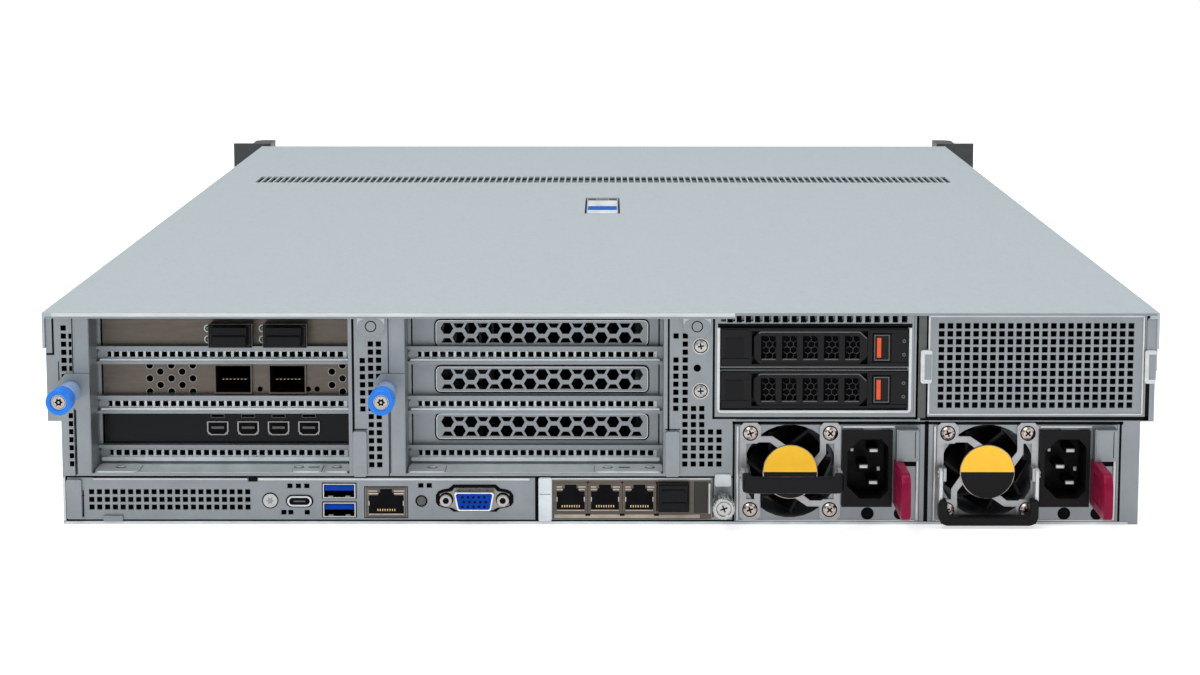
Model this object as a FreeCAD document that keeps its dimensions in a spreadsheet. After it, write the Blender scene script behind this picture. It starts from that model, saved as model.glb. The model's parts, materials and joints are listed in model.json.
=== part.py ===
"""A two-unit rack server seen as its separate pieces.

Millimetres, +Z up, +X to the right of someone who stands behind the server, -Y towards
that person, +Y towards the drive bays at the front. The origin is on the underside of
the chassis, midway between its sides and midway along the tray.
"""

import FreeCAD, Part
import os
import re
import Sketcher
from FreeCAD import Placement, Rotation, Vector

SIZES = {
    # body
    "body_width": 445.0,  # outside of the cover's side flanges
    "body_height": 86.0,  # underside of the tray to the top of the cover
    "body_depth": 750.0,  # tray and cover, rear to front
    "lower_width": 432.0,  # the lower body, which runs between the rack's rails
    "step_height": 42.0,  # where the sides jog outwards
    "steel": 1.2,  # tray, rear wall and cages
    "cover_steel": 1.0,
    "cover_flange": 14.4,
    "cover_lip": 2.3,
    "slip_gap": 0.15,  # between pieces that slide past each other
    # rack ears
    "rack_width": 482.6,
    "ear_height": 87.5,
    "ear_flange": 3.5,
    "ear_depth": 28.0,
    "ear_inside": 434.4,
    "ear_handle": 12.0,
    "rack_hole_edge": 8.75,  # ear's outer edge to the holes
    "rack_hole_pitch": 44.45,
    "rack_hole_radius": 3.4,
    "power_radius": 4.0,
    "power_height": 70.0,
    # cover latch
    "latch_width": 16.4,
    "latch_length": 76.0,
    "latch_near": 355.0,  # rear face of the server to the latch's pan
    "latch_gap": 1.0,
    "latch_plate": 2.0,
    "latch_sunk": 0.2,
    "pan_depth": 9.0,
    "latch_pin": 1.5,
    "tab_width": 11.0,
    "tab_drop": 9.3,
    "tab_left": -91.5,
    "tab_right": 38.5,
    # riser cages and cards
    "riser_left": -204.1,  # inside of the left cage's outer wall
    "riser_right": -78.1,
    "riser_clear": 103.3,
    "riser_bar": 6.4,
    "riser_flange": 2.0,
    "riser_recess": 20.0,
    "riser_length": 205.0,
    "riser_floor": 19.5,
    "riser_top": 84.6,
    "riser_wall_gap": 0.4,
    "slot_pitch": 20.32,
    "slot_lowest": 35.5,
    "slot_open": 13.0,
    "rail_lip": 3.0,
    "bracket_height": 14.4,
    "bracket_thick": 0.9,
    "card_thick": 1.6,
    "card_drop": 6.0,  # slot centre to the top of the card's board
    "card_length": 168.0,
    "socket_reach": 9.0,
    "socket_height": 7.0,
    "socket_length": 90.0,
    "socket_start": 70.0,
    "cage_wall": 0.5,
    "wide_cage": 17.0,
    "wide_cage_height": 9.0,
    "wide_cage_proud": 9.0,
    "tall_cage": 15.2,
    "tall_cage_height": 12.0,
    "tall_cage_proud": 2.0,
    "cage_length": 45.0,
    "cage_first": 54.8,  # inside wall to the first cage's centre
    "cage_pitch": 22.0,
    "plug_head": 4.0,
    "display_first": 48.0,
    "display_pitch": 12.4,
    "display_width": 8.1,
    "display_height": 5.5,
    "hex_pitch": 9.4,
    "hex_side": 2.4,
    "hex_count": 9,
    "cover_window": 85.0,
    "cover_window_height": 7.9,
    "cover_window_proud": 0.7,
    "thumb_offset": 7.6,
    "thumb_height": 54.4,
    "thumb_radius": 5.1,
    "thumb_knob": 10.0,
    "thumb_length": 28.0,
    "thumb_sleeve": 4.0,
    "thumb_shaft": 1.8,
    "groove_length": 5.0,
    "groove_width": 1.1,
    "groove_depth": 2.0,
    "lug_height": 14.0,
    # lower rear row
    "row_low": 2.0,
    "row_high": 18.0,
    "blank_left": -207.6,
    "blank_right": -138.6,
    "io_left": -137.6,
    "io_right": -27.9,
    "usb_middle": -105.0,
    "usb_width": 13.1,
    "usb_height": 6.0,
    "usb_low": 2.9,
    "usb_high": 10.6,
    "usb_depth": 18.0,
    "usb_wall": 0.45,
    "small_usb": -121.0,
    "small_usb_width": 9.2,
    "small_usb_height": 3.6,
    "port_middle": -86.2,
    "port_width": 16.4,
    "port_height": 12.6,
    "jack_width": 11.8,
    "jack_height": 7.4,
    "jack_depth": 12.0,
    "row_middle": 9.4,
    "button_middle": -72.0,
    "button_radius": 1.85,
    "button_hole": 2.5,
    "button_proud": 0.4,
    "video_middle": -50.0,
    "video_flange": 30.8,
    "video_width": 15.6,
    "video_height": 7.6,
    "module_left": -19.4,
    "module_right": 44.6,
    "module_jack": 12.9,
    "module_jack_height": 12.2,
    "module_jack_pitch": 13.8,
    "module_first": -12.0,
    "module_low": 5.2,
    "module_screw": 49.0,
    "module_screw_height": 9.5,
    "module_screw_radius": 4.5,
    "module_screw_length": 16.0,
    # rear drives
    "bay_left": 45.6,
    "bay_right": 125.0,
    "bay_low": 45.0,
    "bay_depth": 125.0,
    "comb_pitch": 3.61,
    "comb_slot": 2.0,
    "comb_height": 2.6,
    "carrier_left": 48.0,
    "carrier_width": 74.6,
    "carrier_height": 15.4,
    "carrier_pitch": 17.0,
    "carrier_low": 47.2,
    "carrier_face": 9.0,
    "carrier_length": 112.0,
    "drive_width": 69.8,
    "lever_left": 12.4,  # carrier's left side to the lever's
    "lever_length": 46.0,
    "lever_thick": 5.0,
    "lever_pin": 1.0,
    "lever_chamfer": 3.2,
    "window_pitch": 8.35,
    "window_width": 6.0,
    "release_gap": 2.2,
    "release_width": 7.2,
    "release_height": 11.4,
    "release_travel": 1.2,
    # rear blank panel
    "panel_left": 130.6,
    "panel_right": 216.8,
    "panel_low": 44.6,
    "panel_return": 14.0,
    # power supplies
    "supply_left": 54.3,
    "supply_width": 73.5,
    "supply_height": 39.4,
    "supply_pitch": 79.0,
    "supply_depth": 185.0,
    "fan_middle": 21.7,  # case's left side to the fan's axis
    "fan_height": 20.6,
    "fan_bore": 19.0,
    "fan_depth": 28.0,
    "fan_screws": 16.0,
    "badge_radius": 10.8,
    "guard_thick": 1.0,
    "guard_arm": 2.4,
    "guard_ear": 8.4,
    "guard_side": 2.6,
    "arm_outer": 14.3,
    "arm_bend": 7.1,
    "inlet_left": 42.4,
    "inlet_width": 20.1,
    "inlet_low": 6.5,
    "inlet_height": 31.0,
    "inlet_proud": 3.0,
    "grip_width": 39.8,
    "grip_length": 27.2,
    "grip_thick": 6.6,
    "grip_leg": 1.4,
    "grip_pin": 1.3,
    "pivot_proud": 5.8,
    "tongue_left": 65.1,
    "tongue_thick": 3.7,
    "tongue_height": 18.6,
    "tongue_low": 6.9,
    "tongue_length": 33.4,
    "tongue_hub": 2.2,
    # front
    "drive_bay_depth": 172.0,
    "front_bay_width": 104.6,
    "front_bay_height": 26.3,
    "front_bay_pitch_x": 106.6,
    "front_bay_pitch_z": 27.6,
    "front_bay_low": 2.4,
    "front_face": 12.0,
    "front_carrier": 150.0,
    "front_drive_width": 101.6,
    "front_lever": 70.0,
    # inside
    "board_level": 6.2,
    "board_thick": 2.0,
    "board_right": 50.0,
    "board_front": 118.0,
    "board_setback": 20.0,
    "board_middle": -120.0,
    "boss_radius": 3.0,
    "sink_width": 78.0,
    "sink_length": 108.0,
    "sink_height": 62.0,
    "sink_base": 6.0,
    "sink_pitch": 190.0,
    "sink_middle": 20.0,
    "fin_count": 13,
    "fin_thick": 1.2,
    "memory_pitch": 9.0,
    "memory_thick": 6.4,
    "memory_socket": 8.0,
    "memory_length": 133.0,
    "memory_height": 31.0,
    "fan_pitch": 100.0,
    "fan_size": 80.0,
    "fan_thick": 38.0,
    "fan_wall": 132.0,
    "rotor_gap": 1.4,
    "fan_pin": 2.0,
    "fan_hub": 15.0,
    "blade_count": 7,
    "blade_pitch": 0.36,  # half the blade's sweep to its depth
    "blade_thick": 0.6,
    "blade_inset": 1.0,
    "stud_radius": 2.4,
    "stud_head": 4.2,
    "stud_reach": 4.6,
}

REAR = "-body_depth/2"
FRONT = "body_depth/2"
TOP = "(body_height-cover_steel)"
UPPER = "(body_width/2-cover_steel-slip_gap)"
LOWER = "(lower_width/2)"
LATCH_AXIS = "(body_height-latch_pin*2)"
PLANES = {"rear": "XZ_Plane", "side": "YZ_Plane", "floor": "XY_Plane"}
WORD = re.compile(r"[a-z_]+")

doc = FreeCAD.newDocument("rack_server")
sheet = doc.addObject("Spreadsheet::Sheet", "dims")
for row, (name, size) in enumerate(SIZES.items(), 1):
    sheet.set(f"A{row}", name)
    sheet.set(f"B{row}", str(size))
    sheet.setAlias(f"B{row}", name)
doc.recompute()

nodes = []


def value(formula):
    """The formula's number with the sheet's present sizes."""
    return sheet.evalExpression(str(formula))


def bind(thing, prop, formula):
    """Tie a property to a formula of the sheet's sizes."""
    named = WORD.sub(lambda word: f"dims.{word[0]}" if word[0] in SIZES else word[0], str(formula))
    thing.setExpression(prop, named)


def fix(sketch, geometry, end, x, y):
    """Hold one point of a sketch at a place given by two formulas."""
    for kind, formula in (("DistanceX", x), ("DistanceY", y)):
        number = sketch.addConstraint(
            Sketcher.Constraint(kind, -1, 1, geometry, end, value(formula)))
        bind(sketch, f"Constraints[{number}]", formula)


def polygon(*points):
    """A closed outline of straight edges, each point a pair of formulas."""
    def draw(sketch):
        start = sketch.GeometryCount
        corners = [Vector(value(x), value(y), 0) for x, y in points]
        ring = corners[1:] + corners[:1]
        sketch.addGeometry([Part.LineSegment(a, b) for a, b in zip(corners, ring)])
        for i, (x, y) in enumerate(points):
            before = start + (i - 1) % len(points)
            sketch.addConstraint(Sketcher.Constraint("Coincident", before, 2, start + i, 1))
            fix(sketch, start + i, 1, x, y)
    return draw


def rectangle(x0, y0, x1, y1):
    return polygon((x0, y0), (x1, y0), (x1, y1), (x0, y1))


def centred(x, y, width, height):
    """A rectangle about a centre."""
    return rectangle(f"{x}-({width})/2", f"{y}-({height})/2", f"{x}+({width})/2", f"{y}+({height})/2")


def circle(x, y, radius):
    def draw(sketch):
        centre = Vector(value(x), value(y), 0)
        ring = sketch.addGeometry(Part.Circle(centre, Vector(0, 0, 1), value(radius)))
        fix(sketch, ring, 3, x, y)
        size = sketch.addConstraint(Sketcher.Constraint("Radius", ring, value(radius)))
        bind(sketch, f"Constraints[{size}]", radius)
    return draw


def chamfered(x, y, half, corner):
    """A square about a centre with its corners cut off."""
    long, short = f"({half})", f"(({half})-({corner}))"
    return polygon(
        (f"{x}-{long}", f"{y}-{short}"), (f"{x}-{short}", f"{y}-{long}"), (f"{x}+{short}", f"{y}-{long}"),
        (f"{x}+{long}", f"{y}-{short}"), (f"{x}+{long}", f"{y}+{short}"), (f"{x}+{short}", f"{y}+{long}"),
        (f"{x}-{short}", f"{y}+{long}"), (f"{x}-{long}", f"{y}+{short}"))


def facets(x, y, radius, sides=12):
    """A regular polygon inside a circle, for round things that need no true curve."""
    turns = [360 * (n + 0.5) / sides for n in range(sides)]
    return polygon(*[(f"{x}+({radius})*cos({turn}deg)", f"{y}+({radius})*sin({turn}deg)") for turn in turns])


def hexagon(x, y, side):
    """A hexagon with points to the left and right."""
    rise = f"({side})*sqrt(3)/2"
    return polygon(
        (f"{x}-{side}", y), (f"{x}-{side}/2", f"{y}-{rise}"), (f"{x}+{side}/2", f"{y}-{rise}"),
        (f"{x}+{side}", y), (f"{x}+{side}/2", f"{y}+{rise}"), (f"{x}-{side}/2", f"{y}+{rise}"))


class Piece:
    """A body made from sketches, each on one of its own planes and bound to the sheet.

    A span is a pair of formulas along the plane's axis: Y for rear, X for side, Z for floor.
    """

    def __init__(self, label):
        self.body = doc.addObject("PartDesign::Body", label)
        self.body.Label = label

    def sketch(self, plane, level, loops):
        sketch = self.body.newObject("Sketcher::SketchObject", "outline")
        origin = next(f for f in self.body.Origin.OriginFeatures if f.Role == PLANES[plane])
        sketch.AttachmentSupport = [(origin, "")]
        sketch.MapMode = "FlatFace"
        bind(sketch, "AttachmentOffset.Base.z", level)
        for draw in loops:
            draw(sketch)
        return sketch

    def add(self, kind, sketch, length):
        feature = self.body.newObject(f"PartDesign::{kind}", kind.lower())
        feature.Profile = sketch
        bind(feature, "Length", length)
        sketch.Visibility = False
        self.body.Tip = feature
        return feature

    def pad(self, plane, span, *loops):
        low, high = span
        level = f"-({high})" if plane == "rear" else low
        return self.add("Pad", self.sketch(plane, level, loops), f"({high})-({low})")

    def cut(self, plane, span, *loops):
        low, high = span
        level = f"-({low})" if plane == "rear" else high
        return self.add("Pocket", self.sketch(plane, level, loops), f"({high})-({low})")

    def repeat(self, features, axis, count, pitch):
        """Repeat features along a sketch axis: H_Axis, V_Axis or N_Axis."""
        pattern = self.body.newObject("PartDesign::LinearPattern", "row")
        pattern.Originals = features
        pattern.Direction = (features[0].Profile[0], [axis])
        bind(pattern, "Occurrences", count)
        bind(pattern, "Length", f"(({count})-1)*({pitch})")
        self.body.Tip = pattern
        return pattern

    def turn(self, features, axis_sketch, count):
        """Repeat features around the sketch's normal."""
        ring = self.body.newObject("PartDesign::PolarPattern", "ring")
        ring.Originals = features
        ring.Axis = (axis_sketch, ["N_Axis"])
        ring.Angle = 360
        bind(ring, "Occurrences", count)
        self.body.Tip = ring
        return ring

    def done(self):
        nodes.append(self.body)
        return self.body


def group(label, pieces):
    """Like pieces that share one node."""
    thing = doc.addObject("Part::Compound", label)
    thing.Label = label
    thing.Links = [piece.body for piece in pieces]
    nodes.append(thing)


def behind(distance):
    """A Y position, measured forward from the rear face."""
    return f"{REAR}+({distance})"


# ---------------------------------------------------------------- chassis and cover


def chassis_tray():
    """Floor and side walls in one folded sheet, with bosses for the system board."""
    piece = Piece("chassis_tray")
    right = [
        (LOWER, "0"), (LOWER, "step_height"), (UPPER, "step_height"), (UPPER, TOP),
        (f"{UPPER}-steel", TOP), (f"{UPPER}-steel", "step_height+steel"),
        (f"{LOWER}-steel", "step_height+steel"), (f"{LOWER}-steel", "steel")]
    left = [(f"-({x})", z) for x, z in reversed(right)]
    piece.pad("rear", (REAR, FRONT), polygon(*right, *left))
    bosses = [
        facets(x, y, "boss_radius", 6)
        for x in (f"-{LOWER}+20", "board_right-12", f"{LOWER}-20")
        for y in (behind("board_setback+12"), "board_middle", "board_front-8")
        if (x, y) != (f"{LOWER}-20", behind("board_setback+12"))]
    piece.pad("floor", ("steel", "board_level"), *bosses)
    piece.done()


def rear_wall():
    """Skeleton between the modules, open upwards where the cages drop in."""
    piece = Piece("rear_wall")
    side = "(riser_bar+riser_wall_gap)"
    left_end = f"riser_left-{side}"
    left_stop = "riser_left+riser_clear+riser_flange+riser_wall_gap"
    right_end = f"riser_right-{side}"
    right_stop = "riser_right+riser_clear+riser_flange+riser_wall_gap"
    over = "steel+supply_height+slip_gap"
    notches = []
    for n in range(2):
        near = f"supply_left+{n}*supply_pitch-slip_gap"
        far = f"supply_left+{n}*supply_pitch+supply_width+slip_gap"
        notches += [(near, "steel"), (near, over), (far, over), (far, "steel")]
    piece.pad(
        "rear", (REAR, behind("steel")),
        polygon(
            (f"-{LOWER}+steel", "steel"), *notches, (f"{LOWER}-steel", "steel"),
            (f"{LOWER}-steel", "step_height+steel"), (f"{UPPER}-steel", "step_height+steel"),
            (f"{UPPER}-steel", TOP), ("panel_right+slip_gap", TOP),
            ("panel_right+slip_gap", "panel_low"), ("panel_left-slip_gap", "panel_low"),
            ("panel_left-slip_gap", TOP), ("bay_right+slip_gap", TOP),
            ("bay_right+slip_gap", "bay_low"), ("bay_left-slip_gap", "bay_low"),
            ("bay_left-slip_gap", TOP), (right_stop, TOP),
            (right_stop, "riser_floor"), (right_end, "riser_floor"), (right_end, TOP),
            (left_stop, TOP), (left_stop, "riser_floor"), (left_end, "riser_floor"), (left_end, TOP),
            (f"-{UPPER}+steel", TOP), (f"-{UPPER}+steel", "step_height+steel"),
            (f"-{LOWER}+steel", "step_height+steel")),
        rectangle("blank_left", "row_low", "blank_right", "row_high"),
        rectangle("io_left", "row_low", "io_right", "row_high"),
        rectangle("module_left", "row_low", "module_right", "row_high"),
        facets("module_screw", "module_screw_height", "thumb_shaft+slip_gap"))
    piece.done()


def top_cover():
    """Lift-off lid with side flanges, a rear lip with two tabs and a pan for the latch."""
    piece = Piece("top_cover")
    lip = f"{REAR}-slip_gap-cover_steel"
    under = "body_height-cover_steel"
    half = "body_width/2"
    pan_left = "-latch_width/2-latch_gap"
    pan_right = "latch_width/2+latch_gap"
    pan_near = behind("latch_near")
    pan_far = behind("latch_near+latch_length+2*latch_gap")
    piece.pad(
        "rear", (lip, FRONT),
        polygon(
            (f"-{half}", "body_height-cover_flange"), (f"-{half}+cover_steel", "body_height-cover_flange"),
            (f"-{half}+cover_steel", under), (f"{half}-cover_steel", under),
            (f"{half}-cover_steel", "body_height-cover_flange"), (half, "body_height-cover_flange"),
            (half, "body_height"), (f"-{half}", "body_height")))
    piece.pad(
        "rear", (lip, f"{REAR}-slip_gap"),
        rectangle(f"-{half}+cover_steel", "body_height-cover_lip", f"{half}-cover_steel", under))
    for middle in ("tab_left", "tab_right"):
        drop = "body_height-tab_drop"
        piece.pad(
            "rear", (lip, f"{REAR}-slip_gap"),
            polygon(
                (f"{middle}-tab_width/2", "body_height-cover_lip"),
                (f"{middle}-tab_width/2", f"{drop}+tab_width/4"),
                (f"{middle}-tab_width/4", drop), (f"{middle}+tab_width/4", drop),
                (f"{middle}+tab_width/2", f"{drop}+tab_width/4"),
                (f"{middle}+tab_width/2", "body_height-cover_lip")))
    piece.cut("floor", (under, "body_height"), rectangle(pan_left, pan_near, pan_right, pan_far))
    piece.pad(
        "floor", ("body_height-pan_depth", under),
        rectangle(f"{pan_left}-cover_steel", f"{pan_near}-cover_steel",
                  f"{pan_right}+cover_steel", f"{pan_far}+cover_steel"))
    piece.cut(
        "floor", ("body_height-pan_depth+cover_steel", "body_height"),
        rectangle(pan_left, pan_near, pan_right, pan_far))
    pin_y = behind("latch_near+latch_gap+latch_pin*2")
    piece.pad("side", (pan_left, pan_right), facets(pin_y, LATCH_AXIS, "latch_pin"))
    piece.done()


def cover_latch():
    """Lever that lies in the cover's pan and turns up about the pin at its rear end."""
    piece = Piece("cover_latch")
    near = behind("latch_near+latch_gap")
    far = behind("latch_near+latch_gap+latch_length")
    pin_y = f"{near}+latch_pin*2"
    top = "body_height-latch_sunk"
    span = ("-latch_width/2", "latch_width/2")
    piece.pad(
        "side", span,
        polygon(
            (pin_y, top), (pin_y, f"{top}-latch_plate"), (f"{far}-latch_plate", f"{top}-latch_plate"),
            (f"{far}-latch_plate", "body_height-pan_depth+cover_steel+1"),
            (far, "body_height-pan_depth+cover_steel+1"), (far, top)))
    piece.pad("side", span, facets(pin_y, LATCH_AXIS, "latch_pin*2-0.4"))
    piece.cut("side", span, facets(pin_y, LATCH_AXIS, "latch_pin+slip_gap"))
    piece.done()


def rack_ears():
    """Mirror-image ears with the rack's bolt holes and a moulded handle each."""
    ears = []
    for label, sign in (("left_ear", "-1"), ("right_ear", "1")):
        piece = Piece(label)
        back = f"{FRONT}+cover_steel*2"
        tip = f"{back}+ear_depth"
        outline = [
            ("ear_inside/2", back), ("rack_width/2", back), ("rack_width/2", f"{back}+ear_flange"),
            ("ear_inside/2+ear_handle", f"{back}+ear_flange"), ("ear_inside/2+ear_handle", f"{tip}-4"),
            ("ear_inside/2+ear_handle-4", tip), ("ear_inside/2", tip)]
        piece.pad("floor", ("0", "ear_height"), polygon(*[(f"{sign}*({x})", y) for x, y in outline]))
        piece.cut(
            "rear", (back, f"{back}+ear_flange"),
            *[circle(f"{sign}*(rack_width/2-rack_hole_edge)", f"body_height/2+{side}*rack_hole_pitch/2",
                     "rack_hole_radius") for side in ("-1", "1")])
        if sign == "1":
            piece.cut(
                "rear", (f"{tip}-6", tip),
                facets("ear_inside/2+ear_handle/2-1", "power_height", "power_radius+slip_gap", 24))
        # tongue that is riveted inside the tray's wall
        piece.pad(
            "floor", ("step_height+steel*2", TOP),
            rectangle(f"{sign}*(ear_inside/2)", f"{FRONT}-24", f"{sign}*({UPPER}-steel)", back))
        ears.append(piece)
    group("rack_ears", ears)


def power_button():
    piece = Piece("power_button")
    tip = f"{FRONT}+cover_steel*2+ear_depth"
    middle = "ear_inside/2+ear_handle/2-1"
    piece.pad("rear", (f"{tip}-4.5", f"{tip}+0.8"), facets(middle, "power_height", "power_radius", 24))
    piece.done()


# ---------------------------------------------------------------- riser cages and cards


def slot(number):
    """Height of a slot's centre, counted from the lowest."""
    return f"(slot_lowest+{number}*slot_pitch)"


def riser_cages():
    """Folded cages that hold three cards each, with a lug for the thumbscrew."""
    cages = []
    for label, start in (("left_cage", "riser_left"), ("right_cage", "riser_right")):
        piece = Piece(label)
        end = f"{start}+riser_clear"
        face = behind("steel")
        deep = behind("riser_recess")
        far = behind("riser_length")
        piece.pad(
            "floor", ("riser_floor", "riser_top"),
            polygon(
                (f"{start}-riser_bar", REAR), (start, REAR), (start, deep), (end, deep), (end, REAR),
                (f"{end}+riser_flange", REAR), (f"{end}+riser_flange", face), (f"{end}+steel", face),
                (f"{end}+steel", far), (end, far), (end, f"{deep}+steel"), (start, f"{deep}+steel"),
                (start, far), (f"{start}-steel", far), (f"{start}-steel", face),
                (f"{start}-riser_bar", face)))
        piece.pad("floor", ("riser_floor", "riser_floor+steel"), rectangle(start, REAR, end, deep))
        piece.pad(
            "floor", ("riser_top-steel", "riser_top"),
            rectangle(start, f"{deep}+steel", end, far))
        piece.cut(
            "rear", (behind("riser_recess-riser_bar"), f"{deep}+steel"),
            *[centred(f"{start}+riser_clear/2", slot(n), "riser_clear-2*steel", "slot_open")
              for n in range(3)])
        lips = [
            rectangle(start, f"{slot(n)}+{side}*slot_open/2-(1-{side})/2*steel", end,
                      f"{slot(n)}+{side}*slot_open/2+(1+{side})/2*steel")
            for n in range(3) for side in (-1, 1)]
        piece.pad("rear", (behind("riser_recess-rail_lip"), deep), *lips)
        lug = f"{start}-thumb_offset"
        piece.pad(
            "rear", (f"{REAR}-steel", REAR),
            polygon(
                (f"{lug}-5", "thumb_height-lug_height/4"), (f"{lug}-2", "thumb_height-lug_height/2"),
                (f"{start}", "thumb_height-lug_height/2"), (f"{start}", "thumb_height+lug_height/2"),
                (f"{lug}-2", "thumb_height+lug_height/2"), (f"{lug}-5", "thumb_height+lug_height/4")),
            facets(lug, "thumb_height", "thumb_shaft+slip_gap"))
        cages.append(piece)
    group("riser_cages", cages)


def riser_boards():
    """Upright boards on each cage's inner wall, with a socket for each card."""
    boards = []
    for label, start in (("left_riser", "riser_left"), ("right_riser", "riser_right")):
        piece = Piece(label)
        wall = f"{start}+riser_clear"
        near = behind("riser_recess+steel+30")
        far = behind("riser_length-5")
        piece.pad(
            "side", (f"{wall}-card_thick", wall),
            polygon(
                (near, "riser_floor+12"), (f"{near}+30", "riser_floor+12"),
                (f"{near}+30", "board_level+board_thick"), (far, "board_level+board_thick"),
                (far, "riser_top-steel-4"), (near, "riser_top-steel-4")))
        piece.pad(
            "side", (f"{wall}-card_thick-socket_reach", f"{wall}-card_thick"),
            *[centred(behind("socket_start+socket_length/2"), f"{slot(n)}-card_drop-card_thick/2",
                      "socket_length", "socket_height") for n in range(3)])
        boards.append(piece)
    group("riser_boards", boards)


def card_edges():
    """The left cage's room for a card's board: left, right and rear edges."""
    right = "riser_left+riser_clear-card_thick-socket_reach"
    return "riser_left+2", right, behind("riser_recess+steel+bracket_thick")


def card_boards():
    """Boards of the three cards in the left cage, each with its cooler."""
    left, right, near = card_edges()
    boards = []
    for number in range(3):
        piece = Piece(f"card_board_{number + 1}")
        top = f"{slot(number)}-card_drop"
        piece.pad(
            "floor", (f"{top}-card_thick", top),
            polygon(
                (left, near), (f"{right}-2", near), (f"{right}-2", behind("socket_start")),
                (right, behind("socket_start")), (right, behind("socket_start+socket_length")),
                (f"{right}-2", behind("socket_start+socket_length")),
                (f"{right}-2", f"{near}+card_length"), (left, f"{near}+card_length")))
        piece.pad(
            "floor", (top, f"{top}+9"),
            rectangle(f"{left}+20", f"{near}+60", f"{left}+64", f"{near}+104"))
        boards.append(piece)
    group("card_boards", boards)


def cage_places(number):
    """Centre, width and height of each transceiver cage on a card."""
    width, height = {2: ("wide_cage", "wide_cage_height"), 1: ("tall_cage", "tall_cage_height")}[number]
    level = f"{slot(number)}-card_drop+({height})/2"
    return [(f"riser_left+cage_first+{n}*cage_pitch", level, width, height) for n in range(2)]


def display_places():
    level = slot(0)
    return [(f"riser_left+display_first+{n}*display_pitch", level) for n in range(4)]


def card_brackets():
    """End plates of the two network cards and, in another finish, of the display card."""
    plates = []
    near = behind("riser_recess+steel")
    span = (near, f"{near}+bracket_thick")
    for number, label in ((2, "upper_bracket"), (1, "middle_bracket")):
        piece = Piece(label)
        piece.pad(
            "rear", span,
            centred("riser_left+riser_clear/2", slot(number), "riser_clear-2*slip_gap-2*card_thick",
                    "bracket_height"),
            *[centred(x, z, width, height) for x, z, width, height in cage_places(number)])
        plates.append(piece)
    group("card_brackets", plates)
    piece = Piece("display_bracket")
    piece.pad(
        "rear", span,
        centred("riser_left+riser_clear/2", slot(0), "riser_clear-2*slip_gap-2*card_thick",
                "bracket_height"),
        *[centred(x, z, "display_width", "display_height") for x, z in display_places()])
    piece.done()


def transceiver_cages():
    """Open sheet sockets that stand on the cards' boards and look out of their brackets."""
    cages = []
    for number, proud in ((2, "wide_cage_proud"), (1, "tall_cage_proud")):
        for n, (x, z, width, height) in enumerate(cage_places(number)):
            piece = Piece(f"cage_{number}_{n + 1}")
            back = behind(f"riser_recess+steel-({proud})")
            far = behind("riser_recess+steel+cage_length")
            piece.pad("rear", (back, far), centred(x, z, width, height))
            piece.cut(
                "rear", (back, f"{far}-cage_wall"),
                centred(x, z, f"{width}-2*cage_wall", f"{height}-2*cage_wall"))
            cages.append(piece)
    group("transceiver_cages", cages)


def port_plugs():
    """Dust plugs in the upper card's sockets and in the module's last port."""
    plugs = []
    back = behind("riser_recess+steel-wide_cage_proud")
    for n, (x, z, width, height) in enumerate(cage_places(2)):
        piece = Piece(f"plug_{n + 1}")
        piece.pad(
            "rear", (back, f"{back}+14"),
            centred(x, z, f"{width}-2*cage_wall", f"{height}-2*cage_wall"))
        piece.pad(
            "rear", (f"{back}-plug_head", back), centred(x, z, f"{width}-3", f"{height}-1.4"))
        plugs.append(piece)
    piece = Piece("plug_3")
    x, z = module_port(3)
    piece.pad("rear", (REAR, behind("9")), centred(x, f"{z}+0.6", "jack_width-1.4", "jack_height-0.4"))
    piece.pad("rear", (behind("-2.6"), REAR), centred(x, z, "module_jack-0.4", "module_jack_height-0.4"))
    plugs.append(piece)
    group("port_plugs", plugs)


def display_ports():
    """Four small display sockets on the lowest card."""
    ports = []
    near = behind("riser_recess+steel-0.6")
    far = behind("riser_recess+steel+16")
    inner = behind("riser_recess+steel+bracket_thick")
    for n, (x, z) in enumerate(display_places()):
        piece = Piece(f"display_port_{n + 1}")
        half = "display_width/2"
        low = f"{z}-display_height/2"
        high = f"{z}+display_height/2"
        piece.pad("rear", (near, far), rectangle(f"{x}-{half}", low, f"{x}+{half}", high))
        piece.cut(
            "rear", (near, f"{near}+9"),
            polygon(
                (f"{x}-{half}+1.3", f"{low}+0.5"), (f"{x}+{half}-1.3", f"{low}+0.5"),
                (f"{x}+{half}-0.5", f"{low}+1.4"), (f"{x}+{half}-0.5", f"{high}-0.5"),
                (f"{x}-{half}+0.5", f"{high}-0.5"), (f"{x}-{half}+0.5", f"{low}+1.4")))
        piece.pad(
            "rear", (inner, far),
            rectangle(f"{x}-{half}+1", f"{z}-card_drop", f"{x}+{half}-1", low))
        ports.append(piece)
    group("display_ports", ports)


def slot_covers():
    """Blanks of the right cage's slots, each with a raised panel of honeycomb."""
    covers = []
    middle = "riser_right+riser_clear/2"
    near = behind("riser_recess+steel")
    face = f"{near}-cover_window_proud"
    for number in range(3):
        piece = Piece(f"slot_cover_{number + 1}")
        piece.pad(
            "rear", (near, f"{near}+bracket_thick"),
            centred(middle, slot(number), "riser_clear-2*slip_gap-2*card_thick", "bracket_height"))
        piece.pad(
            "rear", (face, near), centred(middle, slot(number), "cover_window", "cover_window_height"))
        rise = "hex_pitch/sqrt(3)/4"
        for count, level in (("hex_count", f"{slot(number)}+{rise}"),
                             ("hex_count-1", f"{slot(number)}-{rise}")):
            hole = piece.cut(
                "rear", (face, f"{near}+bracket_thick"),
                hexagon(f"{middle}-({count}-1)/2*hex_pitch", level, "hex_side"))
            piece.repeat([hole], "H_Axis", count, "hex_pitch")
        covers.append(piece)
    group("slot_covers", covers)


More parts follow.
